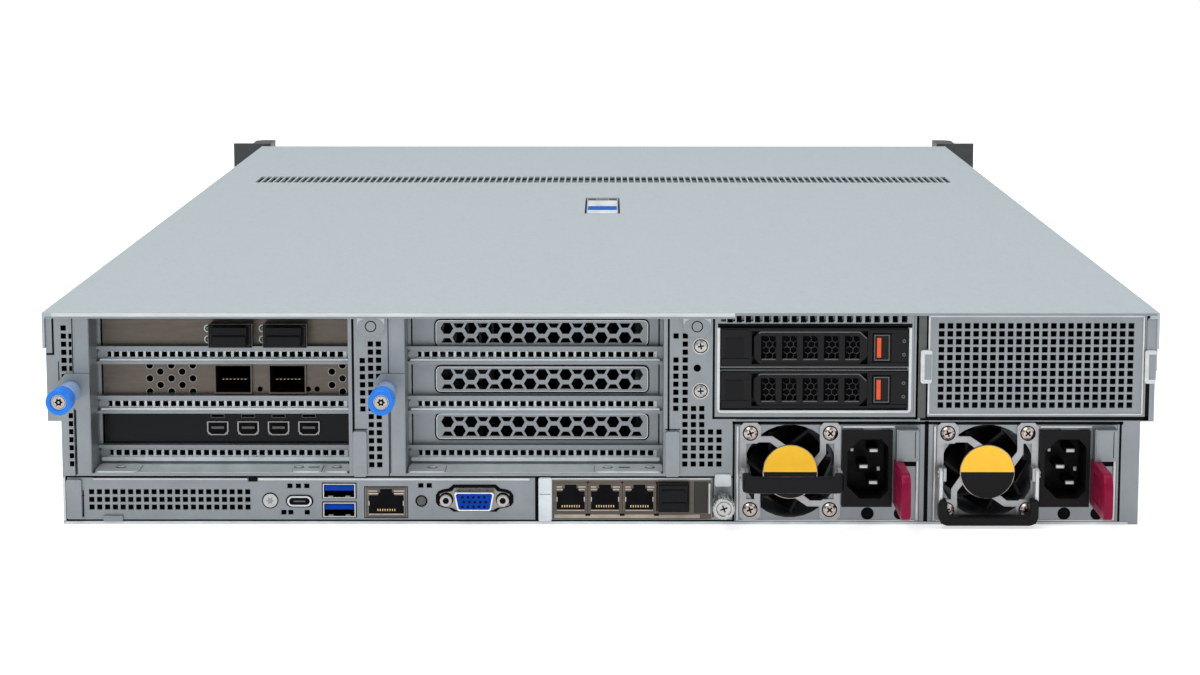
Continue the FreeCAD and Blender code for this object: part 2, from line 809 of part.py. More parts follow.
def thumbscrew(label, x, z, radius, length, knob, sleeve, seat):
    """Captive screw: knob with a cross-grooved end, sleeve and shaft."""
    piece = Piece(label)
    tip = f"{REAR}-({length})"
    piece.pad("rear", (tip, f"{tip}+({knob})"), facets(x, z, radius, 24))
    piece.pad("rear", (f"{tip}+({knob})", seat), facets(x, z, sleeve))
    piece.pad("rear", (seat, f"{seat}+steel"), facets(x, z, "thumb_shaft"))
    for width, height in (("groove_length", "groove_width"), ("groove_width", "groove_length")):
        piece.cut("rear", (tip, f"{tip}+groove_depth"), centred(x, z, width, height))
    piece.done()


def thumbscrews():
    for label, start in (("riser_thumbscrew_left", "riser_left"),
                         ("riser_thumbscrew_right", "riser_right")):
        thumbscrew(label, f"{start}-thumb_offset", "thumb_height", "thumb_radius",
                   "thumb_length", "thumb_knob", "thumb_sleeve", f"{REAR}-steel")
    thumbscrew("module_thumbscrew", "module_screw", "module_screw_height", "module_screw_radius",
               "module_screw_length", "module_screw_length-4", "thumb_sleeve*0.8", REAR)


# ---------------------------------------------------------------- lower rear row


def module_blank():
    """Blank over the empty module bay, with a fold along its top."""
    piece = Piece("module_blank")
    piece.pad(
        "rear", (REAR, behind("steel")), rectangle("blank_left", "row_low", "blank_right", "row_high"))
    piece.pad(
        "floor", ("row_high-steel", "row_high"),
        rectangle("blank_left", behind("steel"), "blank_right", behind("12")))
    piece.done()


def io_plate():
    """Plate of the fixed ports, with an opening for each."""
    piece = Piece("io_plate")
    usb = [centred("usb_middle", f"{low}+usb_height/2", "usb_width", "usb_height")
           for low in ("usb_high", "usb_low")]
    piece.pad(
        "rear", (REAR, behind("steel")),
        rectangle("io_left", "row_low", "io_right", "row_high"),
        centred("small_usb", "row_middle", "small_usb_width", "small_usb_height"),
        *usb,
        centred("port_middle", "row_middle", "port_width-2", "port_height-1"),
        facets("button_middle", "row_middle", "button_hole"),
        centred("video_middle", "row_middle", "video_width+1.2", "video_height+1.2"))
    piece.done()


def usb_ports():
    """Two stacked sockets and a small one, each a shell with its tongue."""
    ports = []
    far = behind("board_setback")
    sockets = [("usb_high", "usb_top"), ("usb_low", "usb_bottom")]
    for low, label in sockets:
        piece = Piece(label)
        level = f"{low}+usb_height/2"
        near = f"{REAR}-0.5"
        piece.pad("rear", (near, far), centred("usb_middle", level, "usb_width", "usb_height"))
        piece.cut(
            "rear", (near, behind("usb_depth*0.7")),
            centred("usb_middle", level, "usb_width-2*usb_wall", "usb_height-2*usb_wall"))
        piece.pad(
            "rear", (behind("1"), behind("usb_depth*0.7")),
            centred("usb_middle", f"{level}+0.9", "usb_width-2", "1.8"))
        ports.append(piece)
    piece = Piece("usb_small")
    near = f"{REAR}-0.3"
    piece.pad("rear", (near, far), centred("small_usb", "row_middle", "small_usb_width", "small_usb_height"))
    piece.cut(
        "rear", (near, behind("6")),
        centred("small_usb", "row_middle", "small_usb_width-0.9", "small_usb_height-0.9"))
    piece.pad("rear", (behind("1"), behind("6")), centred("small_usb", "row_middle", "6.6", "0.8"))
    ports.append(piece)
    group("usb_ports", ports)


def module_port(number):
    """Centre of one of the network module's ports."""
    return f"module_first+{number}*module_jack_pitch", "module_low+module_jack_height/2"


def network_sockets():
    """The management port and the module's four ports, each with a cavity and a latch notch."""
    sockets = []
    places = [("management_port", "port_middle", "row_middle", "port_width-2", "port_height-1")]
    for n in range(4):
        x, z = module_port(n)
        places.append((f"module_port_{n + 1}", x, z, "module_jack", "module_jack_height"))
    for label, x, z, width, height in places:
        piece = Piece(label)
        piece.pad("rear", (REAR, behind("board_setback")), centred(x, z, width, height))
        piece.cut("rear", (REAR, behind("jack_depth")), centred(x, f"{z}+0.6", "jack_width-1", "jack_height"))
        piece.cut(
            "rear", (REAR, behind("jack_depth-4")),
            centred(x, f"{z}+0.6-jack_height/2-0.8", "jack_width/2.4", "1.7"))
        sockets.append(piece)
    group("network_sockets", sockets)


def video_port():
    """Fifteen-way socket with its flange."""
    piece = Piece("video_port")
    face = f"{REAR}-0.8"
    half = "video_width/2"
    low = "row_middle-video_height/2"
    high = "row_middle+video_height/2"
    piece.pad(
        "rear", (face, REAR),
        centred("video_middle", "row_middle", "video_flange", "video_height+4.6"))
    shape = [
        (f"video_middle-{half}", high), (f"video_middle-{half}+1.6", low),
        (f"video_middle+{half}-1.6", low), (f"video_middle+{half}", high)]
    piece.pad("rear", (f"{REAR}-5.5", face), polygon(*shape))
    piece.pad(
        "rear", (REAR, behind("board_setback")),
        centred("video_middle", "row_middle", "video_width", "video_height"))
    piece.done()


def id_button():
    """Push button whose collar bears on the back of the plate."""
    piece = Piece("id_button")
    piece.pad(
        "rear", (f"{REAR}-button_proud", behind("steel+3")),
        facets("button_middle", "row_middle", "button_radius"))
    piece.pad(
        "rear", (behind("steel"), behind("steel+1")),
        facets("button_middle", "row_middle", "button_hole+0.8"))
    piece.done()


def module_plate():
    """Face of the network module with its ports' openings."""
    piece = Piece("module_plate")
    piece.pad(
        "rear", (REAR, behind("steel")),
        rectangle("module_left", "row_low", "module_right", "row_high"),
        rectangle("module_first-module_jack/2", "module_low",
                  "module_first+3*module_jack_pitch+module_jack/2",
                  "module_low+module_jack_height"))
    piece.done()


# ---------------------------------------------------------------- rear drives and blank panel


def rear_drive_cage():
    """Two-drive cage with a comb of air slots over it."""
    piece = Piece("rear_drive_cage")
    left = "bay_left"
    piece.pad(
        "rear", (f"{REAR}", behind("bay_depth")),
        rectangle(left, "bay_low", "bay_right", TOP),
        *[rectangle("carrier_left-slip_gap*2", f"carrier_low+{n}*carrier_pitch",
                    "carrier_left+carrier_width+slip_gap*2",
                    f"carrier_low+{n}*carrier_pitch+carrier_height+slip_gap") for n in range(2)])
    slot_cut = piece.cut(
        "rear", (REAR, behind("3")),
        rectangle(f"{left}+2.4", f"{TOP}-comb_height", f"{left}+2.4+comb_slot", TOP))
    piece.repeat([slot_cut], "H_Axis", "21", "comb_pitch")
    piece.done()


class Caddy:
    """Formulas of one drive carrier's place, with depths counted inwards from its face."""

    def __init__(self, left, low, width, height, face, inward, lever_length, windows):
        self.left, self.low = left, low
        self.right = f"({left}+{width})"
        self.high = f"({low}+{height})"
        self.middle = f"({low}+({height})/2)"
        self.centre = f"({left}+({width})/2)"
        self.height = height
        self.face, self.inward = face, inward
        self.lever = f"({left}+lever_left)"
        self.lever_length = lever_length
        self.windows = windows
        self.pin = (f"{self.lever}+lever_thick/2", self.at("lever_thick/2"))
        self.button = f"({self.lever}+{lever_length}+release_gap+release_width/2)"

    def at(self, depth):
        return f"{self.face}+({self.inward})*({depth})"

    def between(self, near, far):
        ends = (self.at(near), self.at(far))
        return ends if self.inward == "1" else ends[::-1]


def rear_caddy(n):
    return Caddy("carrier_left", f"(carrier_low+{n}*carrier_pitch)", "carrier_width",
                 "carrier_height", REAR, "1", "lever_length", 5)


def carrier(label, caddy, drive_width, length):
    """Drive carrier with its drive: face, recess for the lever, seat of the release."""
    piece = Piece(label)
    edge = f"{caddy.lever}-slip_gap"
    piece.pad(
        "rear", caddy.between("0", "carrier_face"),
        rectangle(caddy.left, caddy.low, caddy.right, caddy.high))
    piece.pad(
        "rear", caddy.between("carrier_face", length),
        centred(caddy.centre, caddy.middle, drive_width, f"{caddy.height}-0.8"))
    piece.cut(
        "rear", caddy.between("0", "lever_thick+slip_gap*2"),
        rectangle(edge, f"{caddy.low}+1", f"{caddy.lever}+{caddy.lever_length}+slip_gap",
                  f"{caddy.high}-1"))
    piece.cut(
        "rear", caddy.between("0", "carrier_face-1.5"),
        centred(caddy.button, caddy.middle, "release_width+2*slip_gap", "release_height+2*slip_gap"))
    piece.pad("floor", (caddy.low, caddy.high), facets(*caddy.pin, "lever_pin"))
    piece.done()


def carrier_lever(label, caddy):
    """Lever across the carrier's face, with air windows, turning about its left end."""
    piece = Piece(label)
    span = (f"{caddy.low}+1+slip_gap", f"{caddy.high}-1-slip_gap")
    pin_x, pin_y = caddy.pin
    end = f"({caddy.lever}+{caddy.lever_length})"
    piece.pad(
        "floor", span,
        polygon(
            (pin_x, caddy.at("0")), (end, caddy.at("0")), (end, caddy.at("lever_thick-1.2")),
            (f"{end}-1.2", caddy.at("lever_thick")), (pin_x, caddy.at("lever_thick"))))
    piece.pad("floor", span, facets(pin_x, pin_y, "lever_thick/2-0.02"))
    piece.cut("floor", span, facets(pin_x, pin_y, "lever_pin+slip_gap"))
    for side in (-1, 1):
        edge = f"{caddy.middle}+{side}*({caddy.height}/2-1-slip_gap)"
        inner = f"{edge}-{side}*lever_chamfer"
        for tip, way in ((f"({end})", -1), (f"({pin_x}-lever_thick/2)", 1)):
            piece.cut(
                "rear", caddy.between("0", "lever_thick"),
                polygon((tip, edge), (tip, inner), (f"{tip}+{way}*lever_chamfer", edge)))
    window = piece.cut(
        "rear", caddy.between("0", "lever_thick-1.2"),
        centred(f"{end}-3-window_width/2-({caddy.windows}-1)*window_pitch", caddy.middle,
                "window_width", f"{caddy.height}-6"))
    piece.repeat([window], "H_Axis", caddy.windows, "window_pitch")
    piece.done()


def release_button(label, caddy):
    piece = Piece(label)
    piece.pad(
        "rear", caddy.between("0.3", "carrier_face-1.5-release_travel-0.2"),
        centred(caddy.button, caddy.middle, "release_width", "release_height"))
    piece.done()


def rear_drives():
    for n, place in enumerate(("lower", "upper")):
        caddy = rear_caddy(n)
        carrier(f"rear_carrier_{place}", caddy, "drive_width", "carrier_length")
        carrier_lever(f"rear_lever_{place}", caddy)
        release_button(f"rear_release_{place}", caddy)


def rear_blank_panel():
    """Blank of the right-hand bay: a folded pan."""
    piece = Piece("rear_blank_panel")
    piece.pad(
        "rear", (REAR, behind("panel_return")),
        rectangle("panel_left", "panel_low", "panel_right", TOP),
        rectangle("panel_left+steel", "panel_low+steel", "panel_right-steel", f"{TOP}-steel"))
    piece.pad("rear", (REAR, behind("steel")), rectangle("panel_left", "panel_low", "panel_right", TOP))
    piece.done()


# ---------------------------------------------------------------- power supplies


class Bay:
    """Formulas of one power supply's place."""

    def __init__(self, number):
        self.left = f"(supply_left+{number}*supply_pitch)"
        self.low = "steel"
        self.right = f"({self.left}+supply_width)"
        self.high = f"({self.low}+supply_height)"
        self.fan_x = f"({self.left}+fan_middle)"
        self.fan_z = f"({self.low}+fan_height)"
        self.pivot_y = f"({REAR}-pivot_proud)"
        self.tongue_x = f"({self.left}+tongue_left)"
        self.tongue_y = f"({REAR}-tongue_hub-0.4)"


def supply_case(label, bay):
    """Case with the fan's duct, the inlet's seat and the lugs of the handle and the tongue."""
    piece = Piece(label)
    piece.pad("rear", (REAR, behind("supply_depth")), rectangle(bay.left, bay.low, bay.right, bay.high))
    piece.cut("rear", (REAR, behind("fan_depth")), facets(bay.fan_x, bay.fan_z, "fan_bore", 32))
    piece.cut(
        "rear", (REAR, behind("26")),
        rectangle(f"{bay.left}+inlet_left", f"{bay.low}+inlet_low", f"{bay.left}+inlet_left+inlet_width",
                  f"{bay.low}+inlet_low+inlet_height"))
    piece.pad(
        "rear", (behind("fan_depth-12"), behind("fan_depth")),
        facets(bay.fan_x, bay.fan_z, "fan_pin-slip_gap"))
    latch = f"{bay.tongue_x}+3.2"
    over = f"{bay.low}+tongue_low+tongue_height"
    piece.pad(
        "rear", (f"{REAR}-6", REAR),
        rectangle(f"{latch}-4.4", f"{over}+slip_gap", f"{latch}+4.4", f"{over}+13"))
    piece.pad(
        "floor", (f"{over}-5", f"{over}+slip_gap"), facets(bay.tongue_x, bay.tongue_y, "tongue_hub/2"))
    piece.done()


def supply_guard(label, bay):
    """Stamped guard: four ears, bent arms to a round badge, and lugs with the handle's pins."""
    piece = Piece(label)
    face = f"{REAR}-guard_thick"
    ear = "fan_screws"
    arm = [
        (f"-{ear}", "arm_outer"), ("-arm_bend", "arm_outer"), ("-1.5", "badge_radius-0.3"),
        ("-4.4", "badge_radius-1.8"), ("-arm_bend-1", "arm_outer-guard_arm"),
        (f"-{ear}", "arm_outer-guard_arm")]
    turned = [lambda u, v: (u, v), lambda u, v: (v, f"-({u})"),
              lambda u, v: (f"-({u})", f"-({v})"), lambda u, v: (f"-({v})", u)]
    for turn in turned:
        points = [turn(*point) for point in arm]
        piece.pad(
            "rear", (face, REAR), polygon(*[(f"{bay.fan_x}+{u}", f"{bay.fan_z}+{v}") for u, v in points]))
    for side in (-1, 1):
        edge = f"{bay.fan_x}+{side}*({ear}+guard_ear/2-guard_side/2)"
        piece.pad(
            "rear", (face, REAR), centred(edge, bay.fan_z, "guard_side", f"2*{ear}"))
        for level in (-1, 1):
            piece.pad(
                "rear", (face, REAR),
                chamfered(f"{bay.fan_x}+{side}*{ear}", f"{bay.fan_z}+{level}*({ear}-0.4)",
                          "guard_ear/2", "1.5"))
    piece.pad("rear", (f"{face}-0.6", REAR), facets(bay.fan_x, bay.fan_z, "badge_radius", 32))
    lug = "(grip_width/2-grip_leg-slip_gap)"
    for x in (-1, 1):
        side = f"{bay.fan_x}+{x}*({lug}-steel/2)"
        piece.pad(
            "side", (f"{side}-steel/2", f"{side}+steel/2"),
            rectangle(f"{bay.pivot_y}-2.4", f"{bay.fan_z}-2.6", REAR, f"{bay.fan_z}+2.6"))
        piece.pad(
            "side", (f"{side}-steel/2-(1-{x})/2*(grip_leg+slip_gap)",
                     f"{side}+steel/2+(1+{x})/2*(grip_leg+slip_gap)"),
            facets(bay.pivot_y, bay.fan_z, "grip_pin"))
    piece.done()


def supply_inlet(label, bay):
    """Mains inlet: moulded block with a shaped mouth and three blades."""
    piece = Piece(label)
    left = f"{bay.left}+inlet_left"
    right = f"{left}+inlet_width"
    low = f"{bay.low}+inlet_low"
    high = f"{low}+inlet_height"
    near = f"{REAR}-inlet_proud"
    middle = f"({low}+inlet_height/2)"
    piece.pad("rear", (near, behind("26")), rectangle(left, low, right, high))
    piece.cut(
        "rear", (near, behind("16")),
        polygon(
            (f"{left}+2+5", f"{low}+3.4"), (f"{right}-1.6", f"{low}+3.4"), (f"{right}-1.6", f"{high}-3.4"),
            (f"{left}+2+5", f"{high}-3.4"), (f"{left}+2", f"{high}-3.4-5"), (f"{left}+2", f"{low}+3.4+5")))
    blades = [(f"{left}+13", f"{middle}+6.6"), (f"{left}+9", middle), (f"{left}+13", f"{middle}-6.6")]
    piece.pad("rear", (behind("3"), behind("16")), *[centred(x, z, "4", "2") for x, z in blades])
    piece.done()


def supply_grip(label, bay, hanging):
    """Folding handle: a moulded grip on two metal legs, standing out or hanging down."""
    piece = Piece(label)
    def place(out, along):
        """A point this far from the pivot towards the grip, and this far above that line."""
        if hanging:
            return f"{bay.pivot_y}-({along})", f"{bay.fan_z}-({out})"
        return f"{bay.pivot_y}-({out})", f"{bay.fan_z}+({along})"
    half = "grip_thick/2"
    end = "grip_length-pivot_proud-0.8"
    bar = [(f"{end}-4.6", f"-{half}"), (f"{end}-1", f"-{half}"), (end, f"-{half}+1"), (end, f"{half}-1"),
           (f"{end}-1", half), (f"{end}-4.6", half)]
    leg = [("-2.4", "-2.2"), (f"{end}-4.6", "-2.2"), (f"{end}-4.6", "2.2"), ("-2.4", "2.2")]
    piece.pad(
        "side", (f"{bay.fan_x}-grip_width/2", f"{bay.fan_x}+grip_width/2"),
        polygon(*[place(*point) for point in bar]))
    for side in ("-1", "1"):
        edge = f"{bay.fan_x}+{side}*(grip_width/2-grip_leg/2)"
        piece.pad(
            "side", (f"{edge}-grip_leg/2", f"{edge}+grip_leg/2"),
            polygon(*[place(*point) for point in leg]), facets(bay.pivot_y, bay.fan_z, "grip_pin+slip_gap"))
    piece.done()


def supply_tongue(label, bay):
    """Release tongue: an upright plate that is squeezed sideways about its hub."""
    piece = Piece(label)
    low = f"{bay.low}+tongue_low"
    high = f"{low}+tongue_height"
    piece.pad("floor", (low, high), facets(bay.tongue_x, bay.tongue_y, "tongue_hub"))
    piece.pad(
        "side", (f"{bay.tongue_x}-tongue_thick/2", f"{bay.tongue_x}+tongue_thick/2"),
        polygon(
            (bay.tongue_y, low), (bay.tongue_y, high), (f"{REAR}-tongue_length+4", high),
            (f"{REAR}-tongue_length", f"{high}-4"), (f"{REAR}-tongue_length", f"{low}+2"),
            (f"{REAR}-tongue_length+2", low)))
    for side in (-1, 1):
        face = f"{bay.tongue_x}+{side}*tongue_thick/2"
        piece.cut(
            "side", (f"{face}-(1+{side})/2*0.8", f"{face}+(1-{side})/2*0.8"),
            rectangle(f"{REAR}-tongue_length+4", f"{low}+3.5", f"{REAR}-tongue_length+22", f"{high}-3.5"))
    piece.cut("floor", (f"{high}-5-slip_gap", high),
              facets(bay.tongue_x, bay.tongue_y, "tongue_hub/2+slip_gap"))
    piece.done()


def rotor(label, x, z, span, hub, bore):
    """Fan wheel: a hub with a bore for its pin, and pitched blades in a ring."""
    piece = Piece(label)
    near, far = span
    bind(piece.body, "Placement.Base.x", x)
    bind(piece.body, "Placement.Base.z", z)
    drum = piece.pad("rear", (near, far), facets("0", "0", hub, 14))
    deep = f"(({far})-({near}))"
    half = f"{deep}*blade_pitch"
    root = f"sqrt(({hub})^2-({half}+blade_thick)^2)*0.95"
    reach = f"sqrt(({bore}-rotor_gap)^2-({half}+blade_thick)^2)"
    blade = piece.pad(
        "floor", (root, reach),
        polygon(
            (f"-{half}-blade_thick", f"{near}+blade_inset"), (f"-{half}+blade_thick", f"{near}+blade_inset"),
            (f"{half}+blade_thick", f"{far}-blade_inset"), (f"{half}-blade_thick", f"{far}-blade_inset")))
    piece.turn([blade], drum.Profile[0], "blade_count")
    piece.cut("rear", (f"{far}-{deep}*0.5", far), facets("0", "0", "fan_pin+slip_gap"))
    piece.done()


def power_supplies():
    for number in range(2):
        name = f"supply_{number + 1}"
        bay = Bay(number)
        supply_case(f"{name}_case", bay)
        supply_guard(f"{name}_guard", bay)
        supply_inlet(f"{name}_inlet", bay)
        supply_grip(f"{name}_handle", bay, number == 1)
        supply_tongue(f"{name}_tongue", bay)
        rotor(f"{name}_rotor", bay.fan_x, bay.fan_z, (behind("2"), behind("fan_depth-4")),
              "fan_bore*0.5", "fan_bore")


# ---------------------------------------------------------------- inside


def system_board():
    """Main board on the tray's bosses, narrower where the power supplies stand."""
    piece = Piece("system_board")
    left = f"-{LOWER}+steel+1"
    corner = behind("supply_depth+8")
    piece.pad(
        "floor", ("board_level", "board_level+board_thick"),
        polygon(
            (left, behind("board_setback")), ("board_right", behind("board_setback")),
            ("board_right", corner), (f"{LOWER}-steel-1", corner), (f"{LOWER}-steel-1", "board_front"),
            (left, "board_front")))
    piece.done()


def heatsinks():
    """Finned coolers over the two processors."""
    coolers = []
    top = "board_level+board_thick"
    for label, side in (("left_cooler", -1), ("right_cooler", 1)):
        piece = Piece(label)
        x = f"{side}*sink_pitch/2"
        piece.pad(
            "floor", (top, f"{top}+sink_base"), centred(x, "sink_middle", "sink_width", "sink_length"))
        fin = piece.pad(
            "floor", (f"{top}+sink_base", f"{top}+sink_height"),
            centred(f"{x}-(sink_width-fin_thick)/2", "sink_middle", "fin_thick", "sink_length"))
        piece.repeat([fin], "H_Axis", "fin_count", "(sink_width-fin_thick)/(fin_count-1)")
        coolers.append(piece)
    group("heatsinks", coolers)


def memory_modules():
    """Memory modules in their sockets, in banks beside and between the coolers."""
    top = "board_level+board_thick"
    socket_top = f"{top}+memory_socket"
    banks = []
    for label, start, count in (
            ("left_bank", f"-{LOWER}+steel+12", "6"),
            ("middle_bank", "-4.5*memory_pitch", "10"),
            ("right_bank", f"{LOWER}-steel-12-5*memory_pitch", "6")):
        piece = Piece(label)
        socket = piece.pad(
            "floor", (top, socket_top),
            centred(start, "sink_middle", "memory_thick", "memory_length+8"))
        stick = piece.pad(
            "floor", (socket_top, f"{socket_top}+memory_height"),
            centred(start, "sink_middle", "card_thick", "memory_length"))
        piece.repeat([socket, stick], "H_Axis", count, "memory_pitch")
        banks.append(piece)
    group("memory_modules", banks)


def fan_frames():
    """Four square frames across the chassis, each with the arms and pin of its wheel."""
    frames = []
    for n in range(4):
        piece = Piece(f"fan_frame_{n + 1}")
        x = f"({n}-1.5)*fan_pitch"
        z = "steel+fan_size/2"
        far = "fan_wall+fan_thick"
        piece.pad(
            "rear", ("fan_wall", far), centred(x, z, "fan_size", "fan_size"),
            facets(x, z, "fan_size/2-1.5", 32))
        piece.pad("rear", (f"{far}-3", far), centred(x, z, "fan_size-1", "5"))
        piece.pad("rear", (f"{far}-3", far), centred(x, z, "5", "fan_size-1"))
        piece.pad("rear", (f"{far}-3", far), facets(x, z, "fan_hub"))
        piece.pad("rear", (f"{far}-14", f"{far}-3"), facets(x, z, "fan_pin-slip_gap"))
        frames.append(piece)
    group("fan_frames", frames)


def fan_rotors():
    for n in range(4):
        rotor(f"fan_rotor_{n + 1}", f"({n}-1.5)*fan_pitch", "steel+fan_size/2",
              ("fan_wall+2", "fan_wall+fan_thick-3.4"), "fan_hub", "fan_size/2-1.5")


# ---------------------------------------------------------------- front drives


def bay_corner(column, row):
    """Lower left corner of a front bay."""
    x = f"(({column}-2)*front_bay_pitch_x+(front_bay_pitch_x-front_bay_width)/2)"
    z = f"(front_bay_low+{row}*front_bay_pitch_z)"
    return x, z


FRONT_BAYS = [(column, row) for column in range(4) for row in range(3)]
FITTED_BAY = (0, 1)


def front_drive_cage():
    """Cage of twelve bays, open at the front and at the rear for the backplane's sockets."""
    piece = Piece("front_drive_cage")
    holes = []
    for place in FRONT_BAYS:
        x, z = bay_corner(*place)
        holes.append(rectangle(x, z, f"{x}+front_bay_width", f"{z}+front_bay_height"))
    piece.pad(
        "rear", (f"{FRONT}-drive_bay_depth", FRONT),
        rectangle(f"-{LOWER}+steel", "steel", f"{LOWER}-steel", TOP), *holes)
    piece.done()


def front_backplane():
    """Upright board behind the bays, with air openings between its sockets."""
    piece = Piece("front_backplane")
    far = f"{FRONT}-drive_bay_depth"
    vents = []
    for place in FRONT_BAYS:
        x, z = bay_corner(*place)
        vents.append(rectangle(f"{x}+48", f"{z}+5", f"{x}+front_bay_width-8", f"{z}+front_bay_height-5"))
    piece.pad("rear", (f"{far}-board_thick", far),
              rectangle(f"-{LOWER}+steel+3", "steel+2", f"{LOWER}-steel-3", "body_height-4"), *vents)
    piece.done()


def front_drive():
    """The carrier of the fitted bay, with its lever and release."""
    x, z = bay_corner(*FITTED_BAY)
    caddy = Caddy(
        f"({x}+slip_gap*2)", z, "front_bay_width-slip_gap*4", "(front_bay_height-slip_gap)",
        f"{FRONT}+front_face", "-1", "front_lever", 8)
    carrier("front_carrier", caddy, "front_drive_width", "front_face+front_carrier")
    carrier_lever("front_lever", caddy)
    release_button("front_release", caddy)


def front_blanks():
    """Moulded fillers of the other bays, open behind and slotted for air."""
    blanks = []
    for number, place in enumerate(FRONT_BAYS):
        if place == FITTED_BAY:
            continue
        x, z = bay_corner(*place)
        piece = Piece(f"front_blank_{number + 1}")
        outer = rectangle(f"{x}+slip_gap", z, f"{x}+front_bay_width-slip_gap",
                          f"{z}+front_bay_height-slip_gap")
        piece.pad(
            "rear", (f"{FRONT}-20", f"{FRONT}+front_face"), outer,
            rectangle(f"{x}+2", f"{z}+2", f"{x}+front_bay_width-2", f"{z}+front_bay_height-2"))
        slots = [centred(f"{x}+front_bay_width/2+{n}*48", f"{z}+front_bay_height/2", "40", "13")
                 for n in (-0.5, 0.5)]
        piece.pad(
            "rear", (f"{FRONT}+front_face-3", f"{FRONT}+front_face"),
            rectangle(f"{x}+2", f"{z}+2", f"{x}+front_bay_width-2", f"{z}+front_bay_height-2"), *slots)
        blanks.append(piece)
    group("front_blanks", blanks)


def rail_studs():
    """Headed studs on the lower sides, where slide rails hook on."""
    studs = []
    for side in ("-1", "1"):
        for n, y in enumerate((f"{REAR}+90", "0", f"{FRONT}-110")):
            piece = Piece(f"stud_{side}_{n}")
            near, far = f"{LOWER}", f"{LOWER}+stud_reach"
            for start, end, radius in ((near, f"{far}-1.4", "stud_radius"), (f"{far}-1.4", far, "stud_head")):
                span = (start, end) if side == "1" else (f"-({end})", f"-({start})")
                piece.pad("side", span, facets(y, "step_height/2", radius, 8))
            studs.append(piece)
    group("rail_studs", studs)


SECTIONS = [
    chassis_tray, rear_wall, top_cover, cover_latch, rack_ears, power_button, riser_cages,
    riser_boards, card_boards, card_brackets, transceiver_cages, port_plugs, display_ports,
    slot_covers, thumbscrews, module_blank, io_plate, usb_ports, network_sockets, video_port,
    id_button, module_plate, rear_drive_cage, rear_drives, rear_blank_panel,
    power_supplies, system_board, heatsinks, memory_modules, fan_frames, fan_rotors,
    front_drive_cage, front_backplane, front_drive, front_blanks, rail_studs,
]

for section in SECTIONS:
    section()
doc.recompute()

for thing in doc.Objects:
    failed = {"Invalid", "Error"} & set(thing.State)
    if failed:
        raise RuntimeError(f"{thing.Label} in {thing.getParentGroup() and thing.getParentGroup().Label}: "
                           f"{thing.State} {thing.getStatusString()}")
os.makedirs("parts", exist_ok=True)
for node in nodes:
    shape = node.Shape
    if shape.isNull() or not shape.isValid():
        raise RuntimeError(f"{node.Label} has no valid shape")
    shape.exportStep(f"parts/{node.Label}.step")
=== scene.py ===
"""Finishes and fine detail for a two-unit rack server, laid out as an add-on and run as a script.

Metres, +Z up, -Y out of the server's rear face, the origin under the middle of its tray.
"""

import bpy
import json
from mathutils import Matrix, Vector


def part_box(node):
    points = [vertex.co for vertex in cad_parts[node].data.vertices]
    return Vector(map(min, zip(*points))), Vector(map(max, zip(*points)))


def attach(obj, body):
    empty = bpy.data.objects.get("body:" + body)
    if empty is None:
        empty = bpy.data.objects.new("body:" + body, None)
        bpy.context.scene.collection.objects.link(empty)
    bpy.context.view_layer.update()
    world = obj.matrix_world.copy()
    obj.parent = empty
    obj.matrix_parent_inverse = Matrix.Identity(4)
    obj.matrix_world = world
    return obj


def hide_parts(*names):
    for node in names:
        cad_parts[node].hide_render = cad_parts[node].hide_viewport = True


bl_info = {
    "name": "Rack server finishes",
    "version": (1, 0, 0),
    "blender": (4, 5, 0),
    "location": "View3D > Sidebar > Rack server",
    "description": "Dresses a packed rack server with finishes and fine detail",
    "category": "Object",
}

import bmesh
import bpy
import json
import math
from bpy.props import FloatProperty, FloatVectorProperty, IntProperty, PointerProperty
from mathutils import Matrix, Vector

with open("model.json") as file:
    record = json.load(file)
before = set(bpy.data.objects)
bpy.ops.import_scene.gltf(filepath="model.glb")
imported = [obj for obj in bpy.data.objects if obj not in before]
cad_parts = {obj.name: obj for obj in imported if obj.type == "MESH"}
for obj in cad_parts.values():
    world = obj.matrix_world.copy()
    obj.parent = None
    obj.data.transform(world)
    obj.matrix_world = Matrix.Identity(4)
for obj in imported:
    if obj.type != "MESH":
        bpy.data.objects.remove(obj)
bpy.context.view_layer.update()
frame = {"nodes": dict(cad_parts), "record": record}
MM = 0.001
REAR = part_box("rear_wall")[0][1]


def colour(name, default, description):
    return FloatVectorProperty(
        name=name, description=description, default=default, size=3, min=0, max=1, subtype="COLOR")


def length(name, default, description):
    return FloatProperty(name=name, description=description, default=default, unit="LENGTH", precision=4)


def angle(name, degrees, description):
    return FloatProperty(name=name, description=description, default=math.radians(degrees), subtype="ANGLE")


class RackServerColours(bpy.types.PropertyGroup):
    cover: colour("Cover", (0.45, 0.51, 0.54), "Pale coating of the top cover")
    zinc: colour("Zinc", (0.262, 0.285, 0.302), "Galvanised sheet of the tray, cages and wall")
    nickel: colour("Nickel", (0.105, 0.090, 0.076), "Plated card brackets")
    tin: colour("Tin plate", (0.62, 0.62, 0.60), "Bright shells of the sockets")
    knob: colour("Knob", (0.011, 0.23, 0.93), "Moulded knobs of the captive screws")
    socket_blue: colour("Socket blue", (0.001, 0.058, 0.46), "Fast USB and analogue video inserts")
    black: colour("Black", (0.006, 0.006, 0.007), "Moulded parts")
    ear: colour("Ear", (0.045, 0.050, 0.050), "Rack ears")
    tongue: colour("Tongue", (0.262, 0.002, 0.041), "Power supply release tongues")
    badge: colour("Badge", (0.98, 0.60, 0.03), "Upper half of the round badges")
    orange: colour("Orange", (0.95, 0.09, 0.01), "Mark on the drive release buttons")
    board: colour("Board", (0.010, 0.060, 0.030), "Circuit boards")


